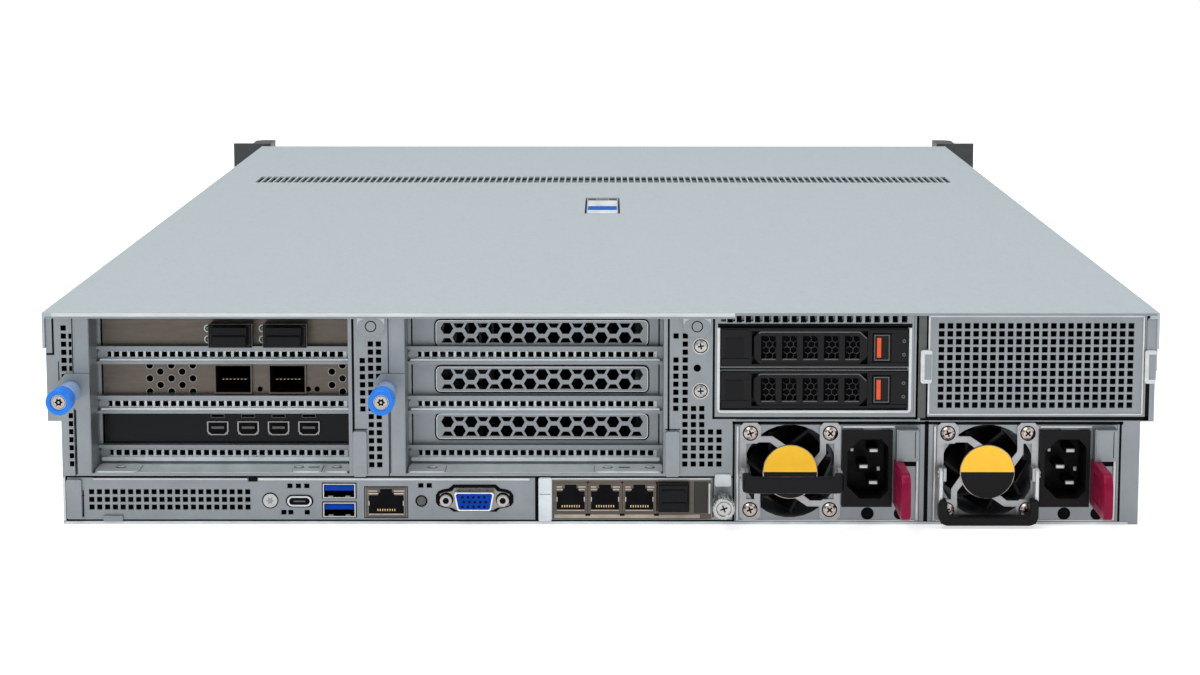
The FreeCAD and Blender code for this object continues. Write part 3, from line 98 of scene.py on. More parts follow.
class RackServerSizes(bpy.types.PropertyGroup):
    vent_count: IntProperty(name="Vents", description="How many slots cross the cover", default=110, min=1)
    vent_width: length("Vent width", 0.0027, "Width of a slot in the cover")
    vent_pitch: length("Vent pitch", 0.00363, "From one slot of the cover to the next")
    wall_hole: length("Wall hole", 0.00215, "Side of a square hole in the rear wall")
    wall_pitch: length("Wall pitch", 0.00327, "From one hole of the rear wall to the one below")
    panel_hole: length("Panel hole", 0.0023, "Side of a square hole in the blank panel by the drives")
    blank_hole: length("Blank hole", 0.0021, "Side of a square hole in the module blank")
    rail_hole: length("Rail hole", 0.0022, "Side of a square hole in a riser rail")
    rail_pitch: length("Rail pitch", 0.003245, "From one hole of a riser rail to the next")
    hexagon_side: length("Hexagon side", 0.00262, "Side of a hole in the slot covers")
    hexagon_pitch: length("Hexagon pitch", 0.00963, "From one hole of the slot covers to the next")
    badge_radius: length("Badge radius", 0.011, "Radius of the power supplies' badges")
    camera_distance: length("Camera distance", 1.150, "From the camera to the rear face")
    camera_side: length("Camera side", 0.003, "From the tray's middle to the camera")
    camera_height: length("Camera height", 0.254, "From the floor to the camera")
    lens: FloatProperty(name="Lens", description="Focal length of the camera", default=87.6, unit="CAMERA")
    tilt: angle("Tilt", 8.80, "Angle of the camera below level")
    turn: angle("Turn", 0.16, "Angle of the camera to the left")


def colours():
    return bpy.context.scene.rack_server_colours


def sizes():
    return bpy.context.scene.rack_server_sizes


def size(name):
    """One of the sizes in millimetres, as it was typed."""
    return round(getattr(sizes(), name) / MM, 4)


# Finishes

class Finish:
    """A node material whose patterns read Object coordinates, in metres.

    mottle is how far the colour and the roughness wander, then the scale and the detail of their noise.
    grain is a strength and a depth, then the same. Both may end with three stretches, for rolled marks.
    """

    def __init__(self, name, base, roughness, metallic=0.0, mottle=None, grain=None, **sockets):
        self.material = bpy.data.materials.get(name)
        self.new = self.material is None
        if not self.new:
            return
        self.material = bpy.data.materials.new(name)
        self.material.use_nodes = True
        self.tree = self.material.node_tree
        self.shader = self.tree.nodes["Principled BSDF"]
        self.base = tuple(base)
        self.rough = roughness
        self.shader.inputs["Base Color"].default_value = (*base, 1)
        self.shader.inputs["Roughness"].default_value = roughness
        self.shader.inputs["Metallic"].default_value = metallic
        for socket, number in sockets.items():
            self.shader.inputs[socket.replace("_", " ")].default_value = number
        self.place = self.tree.nodes.new("ShaderNodeTexCoord").outputs["Object"]
        self.bumps = None
        if mottle:
            self.mottle(self.noise(*mottle[1:]), mottle[0])
        if grain:
            self.bump(self.noise(*grain[2:]), *grain[:2])

    def node(self, kind, **inputs):
        made = self.tree.nodes.new(kind)
        for name, wanted in inputs.items():
            socket = made.inputs[name.replace("_", " ")]
            if isinstance(wanted, bpy.types.NodeSocket):
                self.tree.links.new(wanted, socket)
            else:
                socket.default_value = wanted
        return made

    def noise(self, scale, detail, *stretch):
        place = self.place
        if stretch:
            place = self.node("ShaderNodeMapping", Vector=place, Scale=stretch).outputs["Vector"]
        return self.node("ShaderNodeTexNoise", Vector=place, Scale=scale, Detail=detail).outputs["Fac"]

    def spangle(self, scale):
        """Zinc crystals: each cell has a shade of its own."""
        made = self.node("ShaderNodeTexVoronoi", Vector=self.place, Scale=scale, Randomness=1.0)
        return self.node("ShaderNodeSeparateColor", Color=made.outputs["Color"]).outputs["Red"]

    def ramp(self, factor, low, high):
        """The middle of a pattern's range, spread between two numbers."""
        made = self.node(
            "ShaderNodeMapRange", Value=factor, From_Min=0.3, From_Max=0.7, To_Min=low, To_Max=high)
        return made.outputs["Result"]

    def mottle(self, factor, amount):
        """Let the colour and the roughness wander a little with a pattern."""
        mix = self.tree.nodes.new("ShaderNodeMix")
        mix.data_type = "RGBA"
        for side, share in (("A", 1 - amount), ("B", 1 + amount)):
            socket = next(i for i in mix.inputs if i.name == side and i.type == "RGBA")
            socket.default_value = (*(min(1, part * share) for part in self.base), 1)
        self.tree.links.new(self.ramp(factor, 0, 1), mix.inputs["Factor"])
        out = next(o for o in mix.outputs if o.type == "RGBA")
        self.tree.links.new(out, self.shader.inputs["Base Color"])
        rough = self.ramp(factor, self.rough * (1 - amount), self.rough * (1 + amount))
        self.tree.links.new(rough, self.shader.inputs["Roughness"])

    def bump(self, factor, strength, depth):
        made = self.node("ShaderNodeBump", Height=factor, Strength=strength, Distance=depth)
        if self.bumps:
            self.tree.links.new(self.bumps, made.inputs["Normal"])
        self.bumps = made.outputs["Normal"]
        self.tree.links.new(self.bumps, self.shader.inputs["Normal"])


def zinc():
    """Galvanised sheet: fine spangle, rolled streaks and a soft shine."""
    made = Finish(
        "zinc_sheet", colours().zinc, 0.42, 0.75,
        mottle=(0.10, 90, 4), grain=(0.15, 0.0002, 900, 2, 1, 1, 0.25))
    if made.new:
        made.bump(made.spangle(420), 0.08, 0.0001)
    return made.material


def cover_coat():
    """Pale coating of the cover, with a fine even texture."""
    return Finish(
        "cover_coat", colours().cover, 0.5, 0.25,
        mottle=(0.06, 600, 2), grain=(0.35, 0.0002, 1600, 2)).material


def nickel():
    return Finish(
        "nickel_plate", colours().nickel, 0.34, 0.85,
        mottle=(0.16, 160, 4, 1, 1, 4), grain=(0.10, 0.0001, 1400, 2, 1, 1, 8)).material


def tin():
    return Finish(
        "tin_plate", colours().tin, 0.22, 1.0,
        mottle=(0.14, 260, 4), grain=(0.08, 0.0001, 700, 3)).material


def bright_zinc():
    return Finish(
        "screw_zinc", (0.40, 0.40, 0.39), 0.28, 1.0,
        mottle=(0.12, 500, 3), grain=(0.10, 0.0001, 2200, 2)).material


def fins():
    return Finish(
        "fin_aluminium", (0.66, 0.67, 0.68), 0.30, 1.0,
        mottle=(0.08, 200, 3, 6, 1, 1), grain=(0.12, 0.0001, 1500, 2, 6, 1, 1)).material


def black_plastic():
    """Matt moulded black with a fine spark-eroded grain."""
    return Finish(
        "black_moulding", colours().black, 0.46, Specular_IOR_Level=0.15,
        mottle=(0.18, 300, 3), grain=(0.22, 0.0001, 2600, 2)).material


def carrier_black():
    return Finish(
        "carrier_moulding", colours().black, 0.36, Specular_IOR_Level=0.18,
        mottle=(0.20, 220, 3), grain=(0.16, 0.0001, 2000, 2)).material


def glossy_black():
    return Finish(
        "glossy_black", (0.005, 0.006, 0.007), 0.18, Specular_IOR_Level=0.12,
        mottle=(0.22, 120, 3), grain=(0.04, 0.0001, 500, 2)).material


def ear_coat():
    return Finish(
        "ear_coat", colours().ear, 0.5,
        mottle=(0.14, 260, 3), grain=(0.25, 0.0002, 1800, 2)).material


def knob_blue():
    return Finish(
        "knob_blue", colours().knob, 0.34, Specular_IOR_Level=0.3,
        mottle=(0.10, 240, 3), grain=(0.12, 0.0001, 1800, 2)).material


def socket_blue():
    return Finish(
        "socket_blue", colours().socket_blue, 0.50, Specular_IOR_Level=0.1,
        mottle=(0.10, 400, 2), grain=(0.12, 0.0001, 2400, 2)).material


def tongue_red():
    return Finish(
        "tongue_magenta", colours().tongue, 0.36, Specular_IOR_Level=0.15,
        mottle=(0.10, 220, 3), grain=(0.14, 0.0001, 1900, 2)).material


# Yellow of the badges; its faint glow is painted light, as the badge is no lamp.
def badge_yellow_painted_glow():
    return Finish(
        "badge_yellow_painted_glow", colours().badge, 0.40, Emission_Color=(1, 0.37, 0.01, 1), Emission_Strength=0.22,
        mottle=(0.05, 300, 2), grain=(0.06, 0.0001, 1500, 2)).material


def orange():
    return Finish(
        "orange_mark", colours().orange, 0.42,
        mottle=(0.08, 500, 2), grain=(0.10, 0.0001, 2000, 2)).material


def board_green():
    """Solder mask with its fine tracks showing as soft ridges."""
    return Finish(
        "solder_mask", colours().board, 0.34, 0.0, Coat_Weight=0.3,
        mottle=(0.30, 180, 5, 1, 5, 1), grain=(0.20, 0.0002, 700, 3, 4, 1, 1)).material


def stripe_blue():
    """Blue band of the cover's latch."""
    return Finish(
        "stripe_blue", (0.0005, 0.10, 0.46), 0.5, Specular_IOR_Level=0.05,
        mottle=(0.10, 240, 3), grain=(0.12, 0.0001, 1800, 2)).material


def guard_zinc():
    """Stamped sheet of the supplies' guards."""
    return Finish(
        "guard_zinc", (0.355, 0.36, 0.375), 0.34, 0.7,
        mottle=(0.14, 300, 3), grain=(0.08, 0.0001, 1500, 2)).material


def grey_plastic():
    return Finish(
        "grey_moulding", (0.10, 0.105, 0.105), 0.42,
        mottle=(0.10, 400, 2), grain=(0.15, 0.0001, 2200, 2)).material


def tongue_painted_shade():
    """Recess of the release tongues: textured, and painted darker than the tongue as painted shade."""
    return Finish(
        "tongue_painted_shade", (0.185, 0.002, 0.029), 0.55, Specular_IOR_Level=0.15,
        mottle=(0.2, 300, 3), grain=(0.15, 0.0001, 1500, 2)).material


def painted_shade_sheet():
    """Sheet painted dark as painted shade, where it stands in the shade of a gap."""
    return Finish(
        "painted_shade_sheet", (0.10, 0.105, 0.105), 0.5, 0.4,
        mottle=(0.2, 200, 3), grain=(0.10, 0.0001, 900, 2)).material


def dark_plate():
    """Dark anodised plate."""
    return Finish(
        "dark_plate", (0.040, 0.036, 0.032), 0.5, 0.4,
        mottle=(0.15, 300, 3), grain=(0.10, 0.0001, 1500, 2)).material


def pale_sleeve():
    return Finish(
        "pale_sleeve", (0.30, 0.46, 0.72), 0.35,
        mottle=(0.15, 200, 3), grain=(0.10, 0.0001, 1200, 2)).material


def dark_hollow():
    """Unlit depth inside sockets, seams and recesses."""
    return Finish(
        "dark_hollow", (0.004, 0.004, 0.005), 0.8, Specular_IOR_Level=0.1,
        mottle=(0.2, 300, 2), grain=(0.1, 0.0001, 900, 2)).material


def gold():
    return Finish(
        "contact_gold", (0.55, 0.40, 0.20), 0.25, 1.0,
        mottle=(0.1, 600, 2), grain=(0.05, 0.0001, 1500, 2)).material


def beige():
    """Pale plastic of the lamp windows and of the strip under the network module's sockets."""
    return Finish(
        "beige_moulding", (0.50, 0.44, 0.36), 0.4,
        mottle=(0.15, 300, 3), grain=(0.08, 0.0001, 1500, 2)).material


def green_lens():
    return Finish(
        "lens_green", (0.01, 0.20, 0.04), 0.2, 0.0, Coat_Weight=0.6,
        mottle=(0.2, 500, 2), grain=(0.05, 0.0001, 900, 2)).material


def edge_highlight_and_plating():
    """Sheet edges painted bright as painted highlight, and plated trim."""
    return Finish(
        "edge_highlight_and_plating", (0.60, 0.62, 0.63), 0.34, 0.5,
        mottle=(0.10, 300, 3, 0.3, 1, 1), grain=(0.08, 0.0001, 1200, 2)).material


def silver_plate_and_lit_zinc():
    """Zinc painted paler as painted light, where sheet faces the light: shelves, rails and lips; also the
    silver plate of the latch.
    """
    return Finish(
        "silver_plate_and_lit_zinc", (0.72, 0.77, 0.79), 0.42, 0.3,
        mottle=(0.12, 140, 4, 1, 0.2, 1), grain=(0.10, 0.0001, 900, 2)).material


def shell_steel():
    """Dull drawn steel of small sockets."""
    return Finish(
        "shell_steel", (0.23, 0.23, 0.225), 0.28, 1.0,
        mottle=(0.15, 500, 3), grain=(0.08, 0.0001, 1400, 2)).material


def warm_steel():
    """Passivated screw heads."""
    return Finish(
        "warm_steel", (0.42, 0.37, 0.33), 0.24, 1.0,
        mottle=(0.18, 700, 3), grain=(0.08, 0.0001, 1600, 2)).material


SLOT_FINISHES = {
    "galvanised": zinc,
    "cover_paint": cover_coat,
    "ear_black": ear_coat,
    "nickel": nickel,
    "black_bracket": glossy_black,
    "board_green": board_green,
    "black_plastic": black_plastic,
    "port_shell": tin,
    "port_blue": socket_blue,
    "blue_knob": knob_blue,
    "bright_screw": bright_zinc,
    "carrier_black": carrier_black,
    "release_orange": carrier_black,
    "magenta": tongue_red,
    "badge": bright_zinc,
    "aluminium": fins,
    "latch_blue": cover_coat,
}


# Shapes

class Shape:
    """A mesh under construction. Points are in millimetres: x, depth behind the rear face, z."""

    def __init__(self):
        self.mesh = bmesh.new()
        self.materials = []

    def at(self, x, depth, z):
        return Vector((x * MM, REAR + depth * MM, z * MM))

    def paint(self, verts, material):
        if material not in self.materials:
            self.materials.append(material)
        number = self.materials.index(material)
        for face in {face for vert in verts for face in vert.link_faces}:
            face.material_index = number

    def soften(self, verts, width, segments=2):
        edges = list({edge for vert in verts for edge in vert.link_edges})
        bmesh.ops.bevel(
            self.mesh, geom=edges, offset=width * MM, affect="EDGES", segments=segments,
            profile=0.5, material=-1, clamp_overlap=True)

    def block(self, low, high, material, bevel=0.0, segments=2):
        a, b = self.at(*low), self.at(*high)
        matrix = Matrix.LocRotScale((a + b) / 2, None, [abs(n) for n in b - a])
        verts = bmesh.ops.create_cube(self.mesh, size=1, matrix=matrix)["verts"]
        self.paint(verts, material)
        if bevel:
            self.soften(verts, bevel, segments)
        return verts

    def rod(self, start, end, radius, material, tip=None, segments=24, bevel=0.0):
        a, b = self.at(*start), self.at(*end)
        turn = Vector((0, 0, 1)).rotation_difference(b - a)
        verts = bmesh.ops.create_cone(
            self.mesh, cap_ends=True, segments=segments, radius1=radius * MM,
            radius2=(radius if tip is None else tip) * MM, depth=(b - a).length,
            matrix=Matrix.LocRotScale((a + b) / 2, turn, None))["verts"]
        self.paint(verts, material)
        if bevel:
            rims = [edge for edge in {e for v in verts for e in v.link_edges}
                    if len({round(v.co.dot((b - a).normalized()), 7) for v in edge.verts}) == 1]
            bmesh.ops.bevel(
                self.mesh, geom=rims, offset=bevel * MM, affect="EDGES", segments=2, profile=0.5,
                material=-1, clamp_overlap=True)
        return verts

    def prism(self, outline, near, far, material, bevel=0.0, plane="rear"):
        """Extrude an outline. Its points are (x, z) for rear, (depth, z) for side, (x, depth) for floor."""
        place = {
            "rear": lambda u, v, w: self.at(u, w, v),
            "side": lambda u, v, w: self.at(w, u, v),
            "floor": self.at}[plane]
        base = [self.mesh.verts.new(place(u, v, near)) for u, v in outline]
        face = self.mesh.faces.new(base)
        made = bmesh.ops.extrude_face_region(self.mesh, geom=[face])["geom"]
        moved = self.shift(made, place(*outline[0], far) - place(*outline[0], near))
        self.paint(base + moved, material)
        if bevel:
            self.soften(base + moved, bevel)
        return base + moved

    def lathe(self, profile, centre, material, steps=32):
        """Turn (radius, depth) points about the front-to-rear line through a centre (x, z)."""
        x, z = centre
        verts = [self.mesh.verts.new(self.at(x + radius, depth, z)) for radius, depth in profile]
        edges = [self.mesh.edges.new(pair) for pair in zip(verts, verts[1:])]
        bmesh.ops.spin(
            self.mesh, geom=verts + edges, cent=self.at(x, 0, z), axis=(0, 1, 0),
            angle=math.tau, steps=steps, use_merge=True)
        self.paint(self.joined(verts), material)

    def joined(self, verts):
        """Every vertex joined to these."""
        found, queue = set(verts), list(verts)
        while queue:
            for edge in queue.pop().link_edges:
                for vert in edge.verts:
                    if vert not in found:
                        found.add(vert)
                        queue.append(vert)
        return found

    def repeat(self, verts, count, x=0.0, z=0.0):
        """Copy joined vertices in a row, this far apart."""
        source = list(self.joined(verts))
        geom = source + list({e for v in source for e in v.link_edges}) + list(
            {f for v in source for f in v.link_faces})
        for n in range(1, count):
            made = bmesh.ops.duplicate(self.mesh, geom=geom)["geom"]
            self.shift(made, (n * x * MM, 0, n * z * MM))

    def shift(self, geom, vec):
        """Move the vertices among these and return them."""
        verts = [v for v in geom if isinstance(v, bmesh.types.BMVert)]
        bmesh.ops.translate(self.mesh, verts=verts, vec=vec)
        return verts

    def loop(self, points, depth):
        """A closed run of edges through (x, z) points."""
        verts = [self.mesh.verts.new(self.at(x, depth, z)) for x, z in points]
        return [self.mesh.edges.new(pair) for pair in zip(verts, verts[1:] + verts[:1])]

    def band(self, one, other, material):
        """Faces between two closed runs of as many edges."""
        bmesh.ops.bridge_loops(self.mesh, edges=one + other)
        self.paint({vert for edge in one for vert in edge.verts}, material)

    def lattice(self, left, low, columns, rows, pitch, hole, edge, near, far, material):
        """A plate with square holes; (left, low) is the first hole's centre, edge the rims' widths."""
        def lines(first, count, step, side, margins):
            out = [first - side / 2 - margins[0]]
            for n in range(count):
                out += [first + n * step - side / 2, first + n * step + side / 2]
            return out + [out[-1] + margins[1]]
        xs = lines(left, columns, pitch[0], hole[0], edge[:2])
        zs = lines(low, rows, pitch[1], hole[1], edge[2:])
        verts = bmesh.ops.create_grid(
            self.mesh, x_segments=len(xs) - 1, y_segments=len(zs) - 1, size=0.5)["verts"]
        for vert in verts:
            column = round((vert.co.x + 0.5) * (len(xs) - 1))
            row = round((vert.co.y + 0.5) * (len(zs) - 1))
            vert.co = self.at(xs[column], near, zs[row])
        faces = {face for vert in verts for face in vert.link_faces}
        gone = []
        for face in faces:
            middle = face.calc_center_median() / MM
            if (any(0 < middle.x - a < hole[0] for a in xs[1:-1:2])
                    and any(0 < middle.z - a < hole[1] for a in zs[1:-1:2])):
                gone.append(face)
        bmesh.ops.delete(self.mesh, geom=gone, context="FACES_ONLY")
        kept = [face for face in faces if face.is_valid]
        made = bmesh.ops.extrude_face_region(self.mesh, geom=kept)["geom"]
        moved = self.shift(made, (0, (far - near) * MM, 0))
        self.paint(verts + moved, material)

    def surround(self, x, z, opening, rims, near, far, material):
        """A frame round one opening of this width and height; rims are the upright and level ones' widths."""
        self.lattice(
            x, z, 1, 1, opening, opening, (rims[0], rims[0], rims[1], rims[1]), near, far, material)

    def done(self, name, body, slot, replaces=(), smooth=False):
        piece = solid(name, self.mesh)
        for material in self.materials:
            piece.data.materials.append(material)
        if smooth:
            piece.data.shade_smooth()
            piece.data.set_sharp_from_angle(angle=math.radians(35))
        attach(piece, body)
        if replaces:
            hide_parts(*replaces)


def solid(name, made):
    """A new object from a finished bmesh."""
    bmesh.ops.recalc_face_normals(made, faces=made.faces)
    mesh = bpy.data.meshes.new(name)
    made.to_mesh(mesh)
    made.free()
    piece = bpy.data.objects.new(name, mesh)
    bpy.context.scene.collection.objects.link(piece)
    return piece


def node_copy(node):
    """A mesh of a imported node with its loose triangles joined."""
    copied = bmesh.new()
    copied.from_mesh(frame["nodes"][node].data)
    bmesh.ops.remove_doubles(copied, verts=copied.verts, dist=1e-6)
    bmesh.ops.dissolve_limit(
        copied, angle_limit=0.001, verts=copied.verts, edges=copied.edges, delimit={"NORMAL"})
    return copied


def pierced(node, name, cutter, material, body="chassis", source=None):
    """A copy of a node, or another shape, less a cutter's volume; it stands for the node."""
    piece = solid(name, source.mesh if source else node_copy(node))
    tool = solid("cutter", cutter.mesh)
    cut = piece.modifiers.new("holes", "BOOLEAN")
    cut.object = tool
    cut.operation = "DIFFERENCE"
    cut.solver = "EXACT"
    graph = bpy.context.evaluated_depsgraph_get()
    piece.data = bpy.data.meshes.new_from_object(piece.evaluated_get(graph))
    piece.modifiers.clear()
    bpy.data.objects.remove(tool)
    piece.data.name = name
    piece.data.materials.clear()
    piece.data.materials.append(material)
    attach(piece, body)
    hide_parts(node)


# Pieces

def cross(x, z, long, wide, tilt):
    """Outlines of a cross recess's two grooves."""
    for turn in (tilt, tilt + 90):
        c, s = math.cos(math.radians(turn)), math.sin(math.radians(turn))
        yield [(x + c * u - s * v, z + s * u + c * v)
               for u, v in ((-long, -wide), (long, -wide), (long, wide), (-long, wide))]


def domed_screw(shape, x, z, seat, radius, proud, metal, tilt=0.0):
    """Domed head with a cross recess, in the dark ring of its countersink."""
    shape.rod((x, seat, z), (x, seat - 0.06, z), radius + 0.35, dark_hollow(), segments=28)
    shape.rod((x, seat - 0.06, z), (x, seat - proud, z), radius, metal, tip=radius * 0.62, segments=28,
              bevel=proud * 0.2)
    for groove in cross(x, z, radius * 0.5, radius * 0.12, tilt):
        shape.prism(groove, seat - proud - 0.04, seat - proud + 0.3, dark_hollow())


def arc(x, z, radius, start, end, steps=6):
    """Points round a centre from one angle to another, in degrees."""
    turns = [math.radians(start + (end - start) * n / steps) for n in range(steps + 1)]
    return [(x + radius * math.cos(turn), z + radius * math.sin(turn)) for turn in turns]


def polygon(x, z, radii):
    """Corners round a centre, at each of these radii in turn."""
    step = math.tau / len(radii)
    return [(x + r * math.cos(step * n), z + r * math.sin(step * n)) for n, r in enumerate(radii)]


def star(x, z, outer, inner):
    return polygon(x, z, [outer, inner] * 6)


def rounded(left, low, right, high, radius, steps=4):
    """Outline of a rectangle with round corners."""
    corners = ((right - radius, high - radius), (left + radius, high - radius),
               (left + radius, low + radius), (right - radius, low + radius))
    return [point for n, corner in enumerate(corners)
            for point in arc(*corner, radius, 90 * n, 90 * n + 90, steps)]


def mirrored(x, z, half, wide=1.0, tall=1.0):
    """Outline from its right half, whose points are offsets from (x, z)."""
    right = [(u * wide, z + v * tall) for u, v in half]
    return [(x + u, v) for u, v in right] + [(x - u, v) for u, v in reversed(right)]


def seam(shape, *points, width=0.5, face=0.0, lift=0.04):
    """Dark joint between sheets along level and upright runs."""
    for (x0, z0), (x1, z1) in zip(points, points[1:]):
        low = (min(x0, x1) - width / 2, face - lift, min(z0, z1) - width / 2)
        high = (max(x0, x1) + width / 2, face + 0.05, max(z0, z1) + width / 2)
        shape.block(low, high, dark_hollow())


def square_holes(left, low, columns, rows, pitch, side):
    """Cutter of a field of square holes; (left, low) is the first one's centre."""
    cutter = Shape()
    for row in range(rows):
        for column in range(columns):
            x, z = left + column * pitch[0], low + row * pitch[1]
            cutter.block((x - side / 2, -1, z - side / 2), (x + side / 2, 2.4, z + side / 2), dark_hollow())
    return cutter


class RACK_OT_cover(bpy.types.Operator):
    """Cover with its strip of vents, the riveted tabs and the latch's bands"""
    bl_idname = "rack_server.cover"
    bl_label = "Cover"

    def execute(self, context):
        count, pitch, width = sizes().vent_count, size("vent_pitch"), size("vent_width")
        first = -(count - 1) / 2 * pitch
        vents = Shape()
        slot = vents.block((first - width / 2, 515, 84.6), (first + width / 2, 549, 86.6), dark_hollow())
        vents.repeat(slot, count, x=pitch)
        vents.block((53.6, -2, 82.0), (218.6, -0.05, 84.95), dark_hollow())
        pierced("top_cover", "cover_sheet", vents, cover_coat(), "cover")
        trim = Shape()
        trim.block((first - 4, 513, 84.0), (4 - first, 551, 84.2), grey_plastic())
        for x in (-91.5, 38.5):
            trim.prism(rounded(x - 5.4, 76.8, x + 5.4, 83.6, 3.4), -1.4, -1.15, zinc(), 0.1)
            trim.rod((x, -1.4, 80.6), (x, -1.46, 80.6), 2.3, dark_hollow(), segments=24)
            trim.rod((x, -1.4, 80.6), (x, -1.55, 80.6), 1.9, zinc(), segments=24, bevel=0.1)
        # Strip along the cover's rear edge, painted bright as painted highlight.
        trim.block((-218.6, -1.35, 84.5), (53.4, -1.1, 85.9), edge_highlight_and_plating(), 0.08)
        trim.block((-221.4, -1.2, 83.75), (53.4, -1.1, 84.5), zinc())
        trim.block((53.6, -1.3, 84.9), (221.4, -1.1, 85.9), zinc(), 0.08)
        trim.done("cover_trim", "cover", "cover_paint")
        bands = Shape()
        for near, far, top, paint in (
                (356.8, 371.8, 86.0, silver_plate_and_lit_zinc()),
                (372.0, 391.0, 86.0, stripe_blue()),
                (391.4, 419.0, 85.95, silver_plate_and_lit_zinc())):
            bands.block((-7.6, near, 85.75), (7.6, far, top), paint, 0.1)
        for left, right, paint in (
                (-7.8, -3.4, dark_plate()), (3.4, 7.8, dark_plate()), (-3.2, 3.2, grey_plastic())):
            bands.block((left, 419.4, 85.75), (right, 430.0, 85.9), paint, 0.08)
        bands.done("latch_bands", "latch", "latch_blue")
        return {"FINISHED"}


